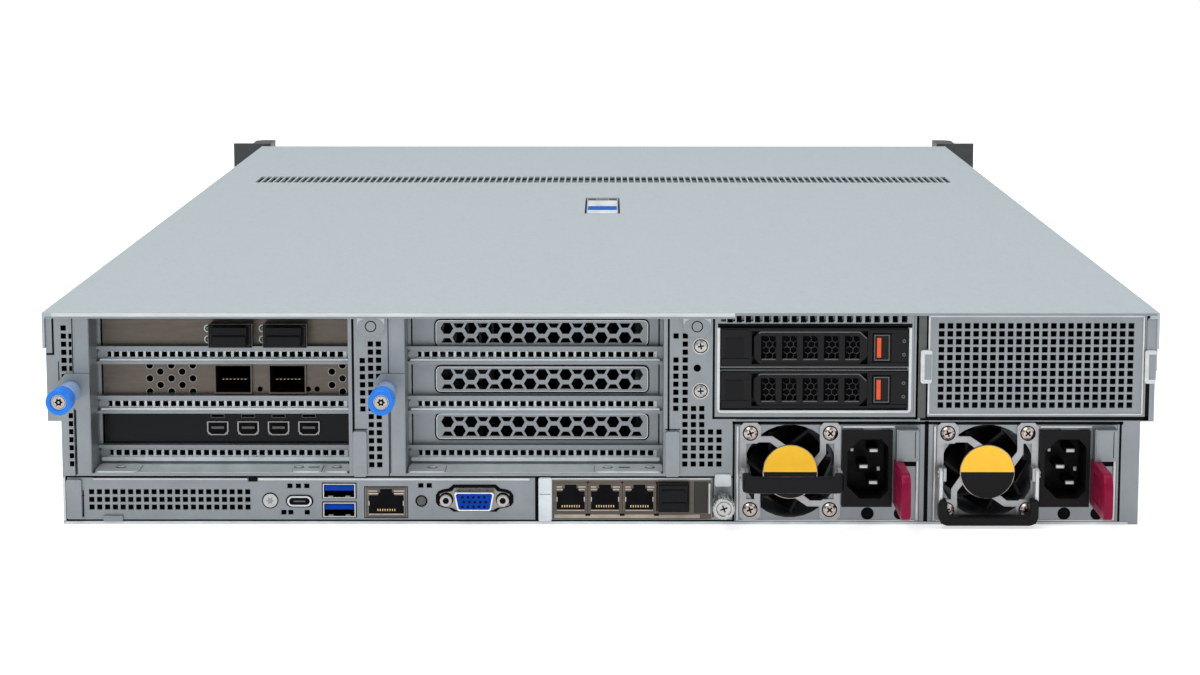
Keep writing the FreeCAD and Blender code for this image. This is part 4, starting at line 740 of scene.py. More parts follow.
class RACK_OT_wall(bpy.types.Operator):
    """Rear wall with its square air holes, screws, clips and seams"""
    bl_idname = "rack_server.wall"
    bl_label = "Rear wall"

    def execute(self, context):
        self.holes()
        self.fasteners()
        self.seams()
        return {"FINISHED"}

    def holes(self):
        dark = dark_hollow()
        side, pitch = size("wall_hole"), size("wall_pitch")
        columns = [
            (-214.2, 79.7, 7, side), (-211.6, 76.4, 5, 1.2), (-212.1, 44.2, 7, 1.8), (-95.1, 66.6, 7, side),
            (-91.8, 73.3, 16, side), (-88.6, 73.3, 16, side), (30.1, 76.6, 1, side), (30.1, 66.9, 7, side),
            (33.8, 76.6, 3, side), (33.8, 66.9, 9, side), (37.2, 47.2, 3, side), (40.5, 47.2, 3, side)]
        columns += [(33.8 + n * 3.42, 37.7, 5, side) for n in range(5)]
        holes = Shape()
        for x, top, count, width in columns:
            low, high = (x - width / 2, -1, top - side / 2), (x + width / 2, 2.4, top + side / 2)
            holes.repeat(holes.block(low, high, dark), count, z=-pitch)
        holes.rod((38.6, -1, 63.6), (38.6, 2.4, 63.6), 1.5, dark, segments=20)
        pierced("rear_wall", "wall_sheet", holes, zinc())
        panel = square_holes(135.9, 48.7, 23, 11, (3.43, 3.2), size("panel_hole"))
        pierced("rear_blank_panel", "panel_sheet", panel, zinc())
        blank = square_holes(-204.6, 6.86, 21, 3, (3.14, 3.14), size("blank_hole"))
        pierced("module_blank", "blank_sheet", blank, zinc())

    def fasteners(self):
        screws = Shape()
        for z, tilt in ((72.5, 12), (SCREW_LEVEL, 3)):
            screws.rod((40, 0, z), (40, -0.2, z), 3.4, bright_zinc(), segments=28, bevel=0.1)
            domed_screw(screws, 40, z, -0.2, 2.5, 0.5, bright_zinc(), tilt)
        screws.done("wall_screws", "chassis", "bright_screw")
        clips = Shape()
        for x in (127.6, 216.9):
            clips.prism(rounded(x, 57.6, x + 4.6, 71.2, 1.0), -1.5, 0, edge_highlight_and_plating(), 0.2)
            clips.block((x + 1.6, -1.6, 59.2), (x + 4.4, -1.4, 69.4), zinc(), 0.1)
        clips.prism(rounded(217.6, 61.4, 222.0, 84.4, 1.8), -0.6, 0, zinc(), 0.2)
        clips.done("panel_clips", "chassis", "galvanised")

    def seams(self):
        lines = Shape()
        for width, *run in (
                (0.7, (-208.0, 19.3), (53.2, 19.3)),
                (0.6, (-214.6, 1.5), (53.0, 1.5)),
                (0.7, (-214.6, 1.5), (-214.6, 19.3), (-204.0, 19.3)),
                (0.8, (-218.4, 84.4), (-218.4, 69.2), (-220.8, 69.2)),
                (0.4, (-216.4, 44.4), (-216.4, 66.0)),
                (0.5, (-207.8, 11.6), (-210.4, 11.6), (-210.4, 6.4), (-212.2, 6.4), (-212.2, 3.8),
                 (-208.2, 3.8)),
                (0.5, (-210.2, 20.5), (-210.2, 46.0)),
                (0.7, (-99.0, 36.0), (-99.0, 83.0)),
                (0.8, (27.2, 38.6), (27.2, 83.0)),
                (0.9, (45.2, 83.0), (45.2, 43.4), (126.4, 43.4), (126.4, 84.6)),
                (0.9, (126.4, 84.4), (126.4, 43.2)),
                (0.7, (130.3, 84.4), (130.3, 43.2)),
                (1.6, (128.6, 43.2), (218.4, 43.2), (218.4, 84.6)),
                (0.9, (53.4, 41.6), (53.4, 1.0)),
                (1.2, (53.4, 41.4), (208.6, 41.4)),
                (1.6, (130.6, 41.4), (130.6, 1.0)),
                (0.9, (208.2, 41.4), (208.2, 1.0)),
                (1.4, (-25.6, 2.0), (-25.6, 18.6)),
                (0.5, (45.2, 3.0), (45.2, 18.6))):
            seam(lines, *run, width=width)
        lines.done("wall_seams", "chassis", "black_plastic")
        lips = Shape()
        # The bottom lip is zinc painted paler as painted light.
        lips.prism(rounded(-215.6, 0.1, 212.0, 1.1, 0.4), -0.5, 0.1, silver_plate_and_lit_zinc(), 0.1)
        lips.block((-204.0, -0.8, 17.2), (-141.6, 0.1, 18.9), zinc(), 0.15)
        lips.block((-141.4, -0.3, 17.4), (-137.8, 0.1, 19.6), dark_hollow())
        # The bright strips here are painted highlight along sheet edges; the dark strip at x 126.9 is painted
        # shade in the gap left of the panel.
        for left, low, right, high, proud, metal in (
                (-215.9, 1.4, -215.0, 19.0, 0.3, edge_highlight_and_plating()),
                (-203.8, 18.3, -141.8, 18.8, 0.9, edge_highlight_and_plating()),
                (-137.4, 17.9, -28.6, 18.8, 0.4, edge_highlight_and_plating()),
                (-20.0, 18.4, 44.0, 18.9, 0.3, edge_highlight_and_plating()),
                (126.9, 43.4, 129.9, 84.6, 0.2, painted_shade_sheet()),
                (131.0, 84.3, 216.4, 84.9, 0.5, edge_highlight_and_plating()),
                (130.7, 45.0, 131.4, 84.9, 0.5, edge_highlight_and_plating()),
                (131.0, 44.7, 216.4, 45.3, 0.5, edge_highlight_and_plating()),
                (216.0, 45.0, 216.7, 84.9, 0.5, edge_highlight_and_plating()),
                (54.5, 42.2, 126.0, 42.8, 0.5, zinc())):
            lips.block((left, -proud, low), (right, 0.1, high), metal, 0.1)
        lips.done("wall_lips", "chassis", "galvanised")


RISERS = (-204.1, -78.1)
SLOT_PITCH = 20.32
RAILS = [25.34 + SLOT_PITCH * n for n in range(3)]
SCREW_LEVEL = 54.4
DISPLAYS = [-156.1 + 12.4 * n for n in range(4)]
CAGES = [-149.3 + 22 * n for n in range(2)]
MODULE_PORTS = [-12 + 13.8 * n for n in range(4)]


class RACK_OT_risers(bpy.types.Operator):
    """Riser cages with their pierced rails, riveted shelves and foot blocks"""
    bl_idname = "rack_server.risers"
    bl_label = "Riser cages"

    def execute(self, context):
        holes = Shape()
        dark = dark_hollow()
        count, pitch, side = 30, size("rail_pitch"), size("rail_hole")
        for start in RISERS:
            first = start + 51.4 - (count - 1) / 2 * pitch
            for z in RAILS:
                low, high = (first - side / 2, 16, z - side / 2), (first + side / 2, 22.4, z + side / 2)
                holes.repeat(holes.block(low, high, dark), count, x=pitch)
        for x in (-115.9, 8.8, 18.5):
            holes.block((x - 2.4, 8, 18), (x + 2.4, 10, 22), dark)
        pierced("riser_cages", "riser_sheet", holes, zinc())
        trim = Shape()
        # Each shelf plate has a zinc rim under a top of zinc painted paler as painted light.
        for left, right in (
                (-203.6, -186.0), (-124.0, -112.4), (-111.0, -101.2), (-77.6, -62.6), (-2.4, 25.0)):
            trim.prism(rounded(left - 0.3, 0.9, right + 0.3, 16.7, 2.6), 20.7, 21.0, zinc(), plane="floor")
            trim.prism(rounded(left, 0.8, right, 16.4, 2.4), 20.9, 21.4, silver_plate_and_lit_zinc(), 0.12, plane="floor")
        # A dark ring round each rivet's foot is painted shade.
        for x in (-193.9, -121.9, -106.6, -68.0, 2.8, 20.0):
            trim.rod((x, 9, 21.38), (x, 9, 21.46), 2.1, painted_shade_sheet(), segments=18)
            trim.rod((x, 9, 21.4), (x, 9, 22.2), 1.7, edge_highlight_and_plating(), segments=18, bevel=0.3)
        for x in (-115.9, 9.6):
            trim.block((x - 2.2, 8.6, 21.3), (x + 2.2, 9.8, 21.5), dark)
        for left, right in ((-99.2, -93.6), (25.9, 31.7)):
            trim.prism(rounded(left, 19.6, right, 38.2, 1.0), -1.8, 0, zinc(), 0.25)
            seam(trim, (left, 38.7), (right, 38.7), width=0.4)
            middle = (left + right) / 2
            trim.rod((middle, -1.8, 22.6), (middle, -1.95, 22.6), 1.0, zinc(), segments=14)
        for start in RISERS:
            trim.block((start - 5.6, -0.4, 20.3), (start - 0.2, 0, 84.0), zinc(), 0.2)
            seam(trim, (start - 6.1, 21.0), (start - 6.1, 46.4), width=0.35)
            # Shelf top of zinc painted paler as painted light.
            trim.block((start + 0.9, 0.6, 20.6), (start + 102.4, 19.8, 20.95), silver_plate_and_lit_zinc())
            # Rail faces and the lower strip along each rail are zinc painted paler as painted light; the upper
            # strip stays zinc.
            for z in RAILS:
                trim.lattice(start + 4.35, z, count, 1, (pitch, 3.2), (side, side), (2.6, 1.4, 0.4, 0.4),
                             19.7, 20.0, silver_plate_and_lit_zinc())
                for low, metal in ((1.5, zinc()), (-3.1, silver_plate_and_lit_zinc())):
                    outline = rounded(start + 0.9, z + low, start + 102.2, z + low + 1.6, 0.7)
                    trim.prism(outline, 17.6, 20.0, metal, 0.15)
                trim.rod((start + 2.0, 19.2, z), (start + 2.0, 20.0, z), 2.2, zinc(), segments=20, bevel=0.2)
        trim.done("riser_trim", "chassis", "galvanised")
        return {"FINISHED"}


class RACK_OT_cards(bpy.types.Operator):
    """Card brackets with their round holes, lamps, plugs and display openings, and the slot covers"""
    bl_idname = "rack_server.cards"
    bl_label = "Cards"

    def execute(self, context):
        self.brackets()
        self.sockets()
        self.covers()
        return {"FINISHED"}

    def brackets(self):
        dark = dark_hollow()
        holes = Shape()
        rings = Shape()
        round_holes = [(x, z) for x in (-183.4, -174.6, -165.9) for z in (61.2, 55.8, 50.4)]
        round_holes += [(x, z) for x in (-179.1, -170.2) for z in (58.6, 53.1)]
        round_holes += [(-109.3, 58.6), (-109.3, 53.1), (-105.0, 61.2), (-105.0, 55.8), (-105.0, 50.4)]
        for x, z in round_holes:
            holes.rod((x, 20.5, z), (x, 23, z), 1.35, dark, segments=16)
            rings.lathe([(1.35, 21.2), (1.4, 21.06), (1.62, 21.06), (1.65, 21.2)], (x, z), shell_steel(), 20)
        lamps = [(-159.4, 76.4), (-159.4, 71.9), (-137.2, 76.4), (-137.2, 71.9)]
        small = [(-142.6, 51.4), (-138.6, 51.4), (-119.0, 51.4), (-115.4, 51.4)]
        for x, z in lamps + small:
            holes.rod((x, 20.5, z), (x, 23, z), 1.1, dark, segments=14)
        for x, z in lamps:
            rings.rod((x, 21.0, z), (x, 24, z), 0.8, green_lens(), segments=14, bevel=0.2)
            rings.lathe([(1.1, 21.2), (1.15, 21.0), (1.6, 21.0), (1.65, 21.2)], (x, z), edge_highlight_and_plating(), 20)
        rings.done("card_rings", "chassis", "nickel")
        pierced("card_brackets", "bracket_sheet", holes, nickel())
        openings = Shape()
        for x in DISPLAYS:
            openings.block((x - 2.6, 20.5, 39.8), (x + 2.6, 23, 40.8), dark)
        pierced("display_bracket", "display_sheet", openings, glossy_black())
        frames = Shape()
        for x in DISPLAYS:
            frames.surround(x, 40.3, (5.2, 1.0), (0.25, 0.25), 21.05, 21.2, grey_plastic())
            half = [(4.4, 2.8), (4.4, -1.6), (3.0, -3.0)]
            frames.prism(mirrored(x, 35.4, half), 20.3, 20.6, shell_steel(), 0.1)
            frames.prism(mirrored(x, 35.4, half, 0.87, 0.84), 20.25, 20.5, dark)
            frames.block((x - 2.6, 20.1, 35.1), (x + 2.6, 20.4, 36.1), grey_plastic(), 0.1)
        frames.done("display_frames", "chassis", "black_bracket")

    def sockets(self):
        dark = dark_hollow()
        inside = Shape()
        # Inside each cage, the dark back, side walls, roof and floor are painted shade; the connector tongue
        # and its gold contacts are the cage's own parts.
        for x in CAGES:
            inside.block((x - 6.6, 50, 50.2), (x + 6.6, 58, 61.4), dark)
            for side in (-7.0, 7.0):
                inside.block((x + side - 0.1, 20, 50.3), (x + side + 0.1, 50, 61.3), dark)
            for low in (50.3, 61.1):
                inside.block((x - 7, 20, low), (x + 7, 50, low + 0.2), dark)
            inside.block((x - 5.5, 25, 54.6), (x + 5.5, 50, 55.4), black_plastic(), 0.1)
            for k in range(7):
                inside.block((x - 4.9 + k * 1.5, 24.0, 54.9), (x - 4.3 + k * 1.5, 30, 55.1), gold())
            for k in range(3):
                inside.block((x - 4 + k * 3, 19.1, 60.9), (x - 3.2 + k * 3, 19.3, 61.3), dark)
        inside.done("cage_shade_and_contacts", "chassis", "black_plastic")
        plugs = Shape()
        for x in CAGES:
            plugs.block((x - 6.8, 7.4, 70.6), (x + 6.8, 12.2, 75.4), glossy_black(), 0.6)
            plugs.block((x - 7.2, 9.6, 75.6), (x + 7.2, 12.2, 78.6), carrier_black(), 0.5)
            plugs.block((x - 1.8, 9.4, 75.9), (x + 1.8, 9.7, 77.2), edge_highlight_and_plating(), 0.3)
            plugs.surround(x, 74.6, (16.2, 8.2), (0.5, 0.5), 12.1, 12.4, dark)
            plugs.surround(x, 74.6, (17.1, 9.1), (0.35, 0.3), 12.3, 13.0, grey_plastic())
        x = MODULE_PORTS[3]
        plugs.block((x - 6.1, -3.0, 5.5), (x + 6.1, 0, 16.9), glossy_black(), 0.7)
        for z in (8.4, 13.6):
            plugs.block((x - 4.9, -3.9, z - 1.1), (x + 4.9, -3.0, z + 1.1), black_plastic(), 0.5)
        plugs.done("plug_faces", "chassis", "black_plastic")

    def covers(self):
        """Plates with a raised field: two staggered rows of hexagons, and half ones along the field's edges."""
        dark = dark_hollow()
        sheets, windows, holes, rims = Shape(), Shape(), Shape(), Shape()
        middle, half, tall, pitch = -23.85, 43.4, 5.5, size("hexagon_pitch")
        for slot, rise in enumerate((7.8, 7.0, 5.7)):
            low = 28.3 + SLOT_PITCH * slot
            z = low + rise
            edges = (10.5, 5.3, z - 4.5 - low, low + 14.4 - z - 4.5)
            sheets.lattice(middle, z, 1, 1, (84, 9), (84, 9), edges, 21.2, 22.1, zinc())
            windows.prism(rounded(middle - half, z - tall, middle + half, z + tall, 2.2), 20.6, 21.19, zinc())
            for up, count in ((1, 9), (-1, 8)):
                for n in range(count):
                    x = middle + (n - (count - 1) / 2) * pitch
                    holes.prism(polygon(x, z + up * 1.9, [size("hexagon_side")] * 6), 20, 22.6, dark)
                tip, root = z + up * 3.97, z + up * 2.1
                for n in range(17 - count):
                    x = middle + (n - (16 - count) / 2) * pitch
                    holes.prism(
                        [(x - 2.3, tip), (x + 2.3, tip), (x + 1.2, root), (x - 1.2, root)], 20, 22.6, dark)
            # Round each window, the bright band is painted highlight on its edge and the dark band is painted
            # shade.
            for inner, outer, depth, metal in ((-0.6, -0.3, 20.56, edge_highlight_and_plating()), (-0.3, 0.25, 20.58, dark)):
                core, ring = [
                    rims.loop(rounded(
                        middle - half - grow, z - tall - grow,
                        middle + half + grow, z + tall + grow, 2.2 + grow), depth)
                    for grow in (inner, outer)]
                rims.band(ring, core, metal)
        pierced("slot_covers", "slot_windows", holes, zinc(), source=windows)
        sheets.done("slot_sheets", "chassis", "galvanised")
        rims.done("slot_rims", "chassis", "galvanised")


class RACK_OT_thumbscrews(bpy.types.Operator):
    """Captive screws: blue knobs with a metal core, and the network module's knurled one"""
    bl_idname = "rack_server.thumbscrews"
    bl_label = "Thumbscrews"

    def execute(self, context):
        z = SCREW_LEVEL
        for side, x in (("left", -211.7), ("right", -85.7)):
            knob = Shape()
            knob.lathe([
                (3.0, -18.0), (3.0, -27.4), (3.3, -28.0), (4.5, -28.0), (5.1, -27.4), (5.1, -18.6),
                (4.7, -18.0), (3.0, -18.0)], (x, z), knob_blue(), 40)
            knob.rod((x, -18.2, z), (x, -9.0, z), 4.3, pale_sleeve(), segments=28, bevel=0.2)
            knob.rod((x, -9.0, z), (x, -1.2, z), 4.1, pale_sleeve(), segments=28, bevel=0.3)
            knob.rod((x, -27.0, z), (x, -18.4, z), 3.0, warm_steel(), segments=28)
            knob.rod((x, -1.3, z), (x, 0, z), 1.8, bright_zinc(), segments=16)
            knob.lathe([(1.9, -27.0), (2.0, -27.35), (2.5, -27.35), (2.7, -27.0)], (x, z), bright_zinc(), 28)
            knob.prism(star(x, z, 1.7, 1.1), -27.06, -26.6, dark_hollow())
            knob.rod((x, -27.2, z), (x, -26.6, z), 0.45, bright_zinc(), segments=12)
            knob.done(f"knob_{side}", f"screw_{side}", "blue_knob", [f"riser_thumbscrew_{side}"], smooth=True)
        x, z = 49.0, 9.5
        knurled = Shape()
        knurled.prism(polygon(x, z, [4.25, 4.5] * 20), -15.2, -4.2, bright_zinc())
        knurled.lathe([(2.7, -15.2), (2.7, -15.6), (3.1, -16.0), (3.9, -16.0), (4.2, -15.7), (4.2, -15.2)],
                      (x, z), bright_zinc(), 32)
        knurled.rod((x, -15.4, z), (x, -15.1, z), 2.7, bright_zinc(), segments=24)
        for groove in cross(x, z, 1.5, 0.3, 20):
            knurled.prism(groove, -15.46, -15.2, dark_hollow())
        knurled.rod((x, -4.2, z), (x, 0, z), 3.2, bright_zinc(), segments=24, bevel=0.3)
        knurled.done("knob_module", "screw_module", "bright_screw", ["module_thumbscrew"])
        return {"FINISHED"}


def jack(shape, x, z, width, height, metal, lamp):
    """Network socket: plated frame, stepped dark mouth with the notch on top, contacts and lamps."""
    dark = dark_hollow()
    low, high = z - height / 2, z + height / 2
    mouth, floor = width / 2 - 1.2, low + 1.6
    shape.surround(x, z, (width - 1.6, height - 1.4), (0.8, 0.7), -0.3, 1.0, metal)
    shape.block((x - width / 2 + 0.6, 0.05, low + 0.5), (x + width / 2 - 0.6, 0.4, high - 0.5), metal)
    half = [(mouth, floor - z), (mouth, 2.8), (3.4, 2.8), (3.4, 4.0), (2.4, 4.0), (2.4, high - 0.6 - z)]
    shape.prism(mirrored(x, z, half), -0.06, 0.1, dark)
    for side in (-1, 1):
        a, b = sorted((x + side * (mouth + 0.1), x + side * 3.1))
        shape.block((a, -0.2, z + 3.3), (b, 0.1, z + 3.9), lamp, 0.1)
        shape.block((a, -0.14, z + 4.4), (b + side * 0.4, 0.1, z + 4.9), warm_steel(), 0.08)
        tab = x + side * (mouth - 0.1)
        shape.block((tab - 0.2, -0.16, z - 1.4), (tab + 0.2, 0.1, z + 0.6), warm_steel(), 0.08)
    shape.block((x - mouth, -0.24, floor - 0.5), (x + mouth, 0.1, floor), lamp, 0.1)
    for n in range(8):
        shape.block((x - 3.6 + n * 0.98, -0.12, floor + 1.0), (x - 3.2 + n * 0.98, 0.05, floor + 1.9), gold())


class RACK_OT_row(bpy.types.Operator):
    """Lower rear row: fixed ports, network module, blank and their trim"""
    bl_idname = "rack_server.row"
    bl_label = "Port row"

    def execute(self, context):
        self.plate()
        self.usb()
        self.small_port()
        self.jacks()
        self.button()
        self.video()
        self.trim()
        return {"FINISHED"}

    def plate(self):
        dark = dark_hollow()
        holes = Shape()
        for x, z in ((-124.8, 15.6), (-121.4, 15.6), (-118.0, 15.6), (-127.4, 4.8), (-124.6, 4.8),
                     (-118.0, 4.8), (-72.2, 15.8), (-68.8, 15.8)):
            holes.block((x - 1.05, -1, z - 0.95), (x + 1.05, 2.2, z + 0.95), dark)
        pierced("io_plate", "port_plate", holes, zinc())

    def usb(self):
        dark = dark_hollow()
        usb = Shape()
        for low in (2.9, 10.6):
            level = low + 3.0
            usb.surround(-105, level, (13.2, 6.0), (0.35, 0.3), -0.25, -0.05, dark)
            usb.surround(-105, level, (12.2, 5.2), (0.4, 0.35), -0.7, -0.4, edge_highlight_and_plating())
            usb.block((-110.8, -0.45, level + 0.1), (-99.2, 12.4, level + 2.2), socket_blue(), 0.15)
            for x in (-108.4, -101.6):
                usb.block((x - 1.0, -0.5, level - 2.5), (x + 1.0, 5.5, level - 1.9), shell_steel(), 0.1)
        usb.block((-112, 11.8, 2.9), (-98, 12.2, 16.6), dark)
        usb.done("usb_inserts", "chassis", "port_shell")

    def small_port(self):
        dark = dark_hollow()
        small = Shape()
        x, z = -121, 9.4
        for half, radius, near, far, metal, bevel in (
                (3.0, 2.5, -0.6, 0.1, dark, 0), (2.8, 2.15, -0.8, -0.3, edge_highlight_and_plating(), 0.12),
                (2.7, 1.45, -0.86, -0.5, dark, 0)):
            outline = arc(x + half, z, radius, -90, 90, 12) + arc(x - half, z, radius, 90, 270, 12)
            small.prism(outline, near, far, metal, bevel)
        small.block((x - 2.4, -0.92, z - 0.25), (x + 2.4, -0.7, z + 0.35), grey_plastic(), 0.1)
        small.done("small_port", "chassis", "port_shell")

    def jacks(self):
        dark = dark_hollow()
        jacks = Shape()
        jack(jacks, -86.2, 8.9, 16.4, 12.4, nickel(), warm_steel())
        jacks.surround(-86.2, 8.9, (17.0, 12.4), (0.3, 0.3), -0.2, 0.2, dark)
        jacks.block((-18.6, -0.5, 2.5), (40.0, 0.2, 4.0), beige(), 0.2)
        for x in MODULE_PORTS[:3]:
            jack(jacks, x, 10.6, 13.6, 12.6, nickel(), beige())
            jacks.block((x + 5.9, -0.6, 3.5), (x + 7.9, 0.2, 4.3), dark)
        jacks.done("jack_faces", "chassis", "port_shell")

    def button(self):
        button = Shape()
        cap = [(0.01, -0.4), (1.5, -0.38), (1.85, -0.1), (1.85, 3.6), (0.01, 3.6)]
        button.lathe(cap, (-72, 9.4), grey_plastic())
        button.rod((-72, 1.25, 9.4), (-72, 2.2, 9.4), 3.2, dark_hollow(), segments=20)
        button.done("id_key_cap", "id_key", "black_plastic", ["id_button"], smooth=True)

    def video(self):
        dark = dark_hollow()
        video = Shape()
        x, z = -50.6, 10.2
        shade = [(15.6, 1.6), (14.6, 3.2), (12.8, 4.0), (10.4, 4.4), (8.5, 6.0)]
        under = [(u, v * -0.85) for u, v in reversed(shade)]
        video.prism(mirrored(x, z, under + shade), -0.25, 0.05, dark)
        flange = [(7.4, -4.4), (9.0, -3.4), (12.0, -3.1), (14.0, -2.3),
                  (14.0, 2.3), (12.0, 3.1), (9.2, 3.4), (8.0, 4.8)]
        video.prism(mirrored(x, z, flange), -0.8, -0.2, shell_steel(), 0.15)
        shell = [(7.4, 4.0), (8.1, 3.3), (6.9, -3.3), (6.2, -3.9)]
        video.prism(mirrored(x, z, shell), -5.4, -0.7, tin(), 0.3)
        video.prism(mirrored(x, z, shell, 0.91, 0.84), -5.5, -5.1, socket_blue(), 0.15)
        for row in range(3):
            for n in range(5):
                u, v = x - 4.7 + n * 2.2 + (0.6 if row == 1 else 0), z + 1.9 - row * 1.95
                video.rod((u, -5.56, v), (u, -5.3, v), 0.55, dark, segments=10)
        for side in (-1, 1):
            at = x + side * 11.4
            video.rod((at, -0.75, z), (at, -0.95, z), 2.9, dark, segments=28)
            video.rod((at, -3.2, z), (at, -0.9, z), 2.5, warm_steel(), segments=28, bevel=0.3)
            video.lathe([(1.2, -3.2), (1.3, -3.5), (1.9, -3.5), (2.0, -3.2)], (at, z), bright_zinc(), 24)
            video.rod((at, -3.25, z), (at, -3.0, z), 1.2, dark, segments=14)
        video.done("video_socket", "chassis", "port_blue", ["video_port"])

    def trim(self):
        dark = dark_hollow()
        trim = Shape()
        trim.rod((-132.8, 0.1, 9.6), (-132.8, -0.1, 9.6), 3.3, dark, segments=28)
        trim.rod((-132.8, 0.1, 9.6), (-132.8, -0.35, 9.6), 2.9, bright_zinc(), segments=28, bevel=0.15)
        trim.prism(star(-132.8, 9.6, 1.7, 0.9), -0.4, -0.2, zinc())
        trim.prism(rounded(-214.6, 2.2, -208.4, 18.4, 0.8), -1.6, 0, zinc(), 0.25)
        seam(trim, (-208.0, 3.0), (-208.0, 13.6), width=0.5)
        trim.prism(rounded(-200, 1.2, -192, 3.6, 0.6), -1.2, 0, zinc(), 0.2)
        # Tab of zinc painted paler as painted light.
        trim.prism(rounded(-24.9, 1.4, -19.6, 19.2, 0.8), -1.8, 0, silver_plate_and_lit_zinc(), 0.3)
        seam(trim, (-24.4, 12.6), (-20.1, 12.6), width=0.2, face=-1.8)
        trim.block((37.6, -0.4, 4.6), (43.0, 0.1, 17.4), dark_plate(), 0.2)
        # Upright strip painted bright as painted highlight.
        trim.block((43.4, -1.0, 4.4), (44.2, 0.1, 16.8), edge_highlight_and_plating(), 0.2)
        # Tab of zinc painted paler as painted light.
        trim.prism(rounded(45.9, 15.6, 52.4, 20.6, 0.8), -1.4, 0, silver_plate_and_lit_zinc(), 0.25)
        trim.done("row_trim", "chassis", "galvanised")


def hexmesh(shape, left, low, right, high, pitch, depth, material):
    """Honeycomb wires between two corners."""
    rise = pitch * math.sqrt(3) / 2
    side = pitch / math.sqrt(3)
    for row in range(int((high - low) / rise) + 2):
        for column in range(int((right - left) / pitch) + 2):
            x = left + column * pitch + (row % 2) * pitch / 2
            z = low + row * rise
            if not (left - 0.1 < x < right + 0.1 and low - 0.1 < z < high + 0.1):
                continue
            ring = arc(x, z, side, 90, -90, 3)
            for a, b in zip(ring, ring[1:]):
                shape.rod((a[0], depth, a[1]), (b[0], depth, b[1]), 0.14, material, segments=4)


class RACK_OT_drives(bpy.types.Operator):
    """Rear drive carriers: rim, air windows, release buttons and lamps"""
    bl_idname = "rack_server.drives"
    bl_label = "Rear drives"

    def execute(self, context):
        self.cage()
        for place, low in (("lower", 47.2), ("upper", 64.2)):
            self.carrier(place, low)
            self.lever(place, low + 7.7)
            self.release(place, low + 7.7)
        return {"FINISHED"}

    def cage(self):
        dark = dark_hollow()
        comb = Shape()
        slot = comb.block((50.5, -1, 82.0), (52.7, 4, 85.2), dark)
        comb.repeat(slot, 20, x=3.653)
        pierced("rear_drive_cage", "bay_sheet", comb, zinc())
        rim = Shape()
        # The cage mouth's rim is painted bright as painted highlight along its edges.
        for left, low, right, high in (
                (46.5, 47.0, 47.6, 80.0), (123.0, 47.0, 124.1, 80.0), (48.2, 45.5, 122.4, 46.6)):
            rim.block((left, -0.6, low), (right, 0.1, high), edge_highlight_and_plating(), 0.15)
        for x, start in ((48.3, 180), (122.3, 270)):
            corner = arc(x, 47.3, 1.8, start, start + 90) + arc(x, 47.3, 0.8, start + 90, start)
            rim.prism(corner, -0.6, 0.1, edge_highlight_and_plating(), 0.1)
        rim.block((46.8, -0.1, 80.0), (124.2, 0.1, 81.6), dark)
        rim.block((48.0, 3.4, 81.0), (123.0, 3.6, 84.8), dark)
        for z in (46.9, 63.4, 80.1):
            rim.block((47.4, -0.1, z - 0.45), (122.6, 0.2, z + 0.45), dark)
        rim.block((48.6, -0.3, 63.7), (122.0, 0.1, 64.0), grey_plastic(), 0.08)
        rim.done("bay_rim", "chassis", "galvanised")

    def carrier(self, place, low):
        high, middle = low + 15.4, low + 7.7
        face = Shape()
        for left, right, tall in ((48.2, 59.4, 3.1), (107.0, 122.4, 1.5)):
            face.block((left, -0.35, low + 0.3), (right, 0.1, low + 0.3 + tall), carrier_black(), 0.25)
            face.block((left, -0.35, high - 0.3 - tall), (right, 0.1, high - 0.3), carrier_black(), 0.25)
        face.block((50.0, -0.2, middle - 3.9), (57.0, 0.1, middle + 3.9), glossy_black(), 0.4)
        for z in (middle + 2.7, middle - 2.8):
            face.lathe([(0.35, -0.25), (0.75, -0.25), (0.75, 0.05), (0.35, 0.05), (0.35, -0.25)],
                       (121.0, z), grey_plastic(), 16)
        face.done(f"carrier_face_{place}", f"rear_drive_{place}", "carrier_black")

    def lever(self, place, middle):
        arm = Shape()
        for n in range(5):
            x = 67.05 + n * 8.35
            arm.block((x - 2.8, -0.05, middle - 5.0), (x + 2.8, 0.3, middle - 4.5), grey_plastic(), 0.1)
            arm.block((x - 3.0, 3.5, middle - 4.6), (x + 3.0, 3.7, middle + 4.6), dark_hollow())
            hexmesh(arm, x - 2.2, middle - 3.6, x + 2.3, middle + 4.2, 2.6, 2.4, grey_plastic())
        top = middle + 6.55
        edge = [(63.0, top - 0.6), (63.6, top), (103.4, top), (106.2, top - 2.6), (106.2, top - 3.2),
                (103.2, top - 0.5), (63.8, top - 0.5), (63.2, top - 1.1)]
        arm.prism(edge, -0.3, 0.05, grey_plastic(), 0.08)
        arm.block((64.6, -0.2, middle - 6.5), (103.4, 0.05, middle - 5.9), carrier_black(), 0.1)
        arm.done(f"lever_face_{place}", f"rear_drive_{place}_lever", "carrier_black")

    def release(self, place, middle):
        key = Shape()
        x = 112.2
        key.surround(x, middle, (6.2, 10.4), (0.5, 0.5), -0.05, 0.35, dark_hollow())
        key.surround(x, middle, (5.4, 9.6), (0.4, 0.4), -0.2, 0.35, grey_plastic())
        key.block((x - 2.0, -0.15, middle - 4.0), (x - 0.3, 0.35, middle + 4.0), orange(), 0.1)
        key.done(f"release_face_{place}", f"rear_drive_{place}_release", "release_orange")


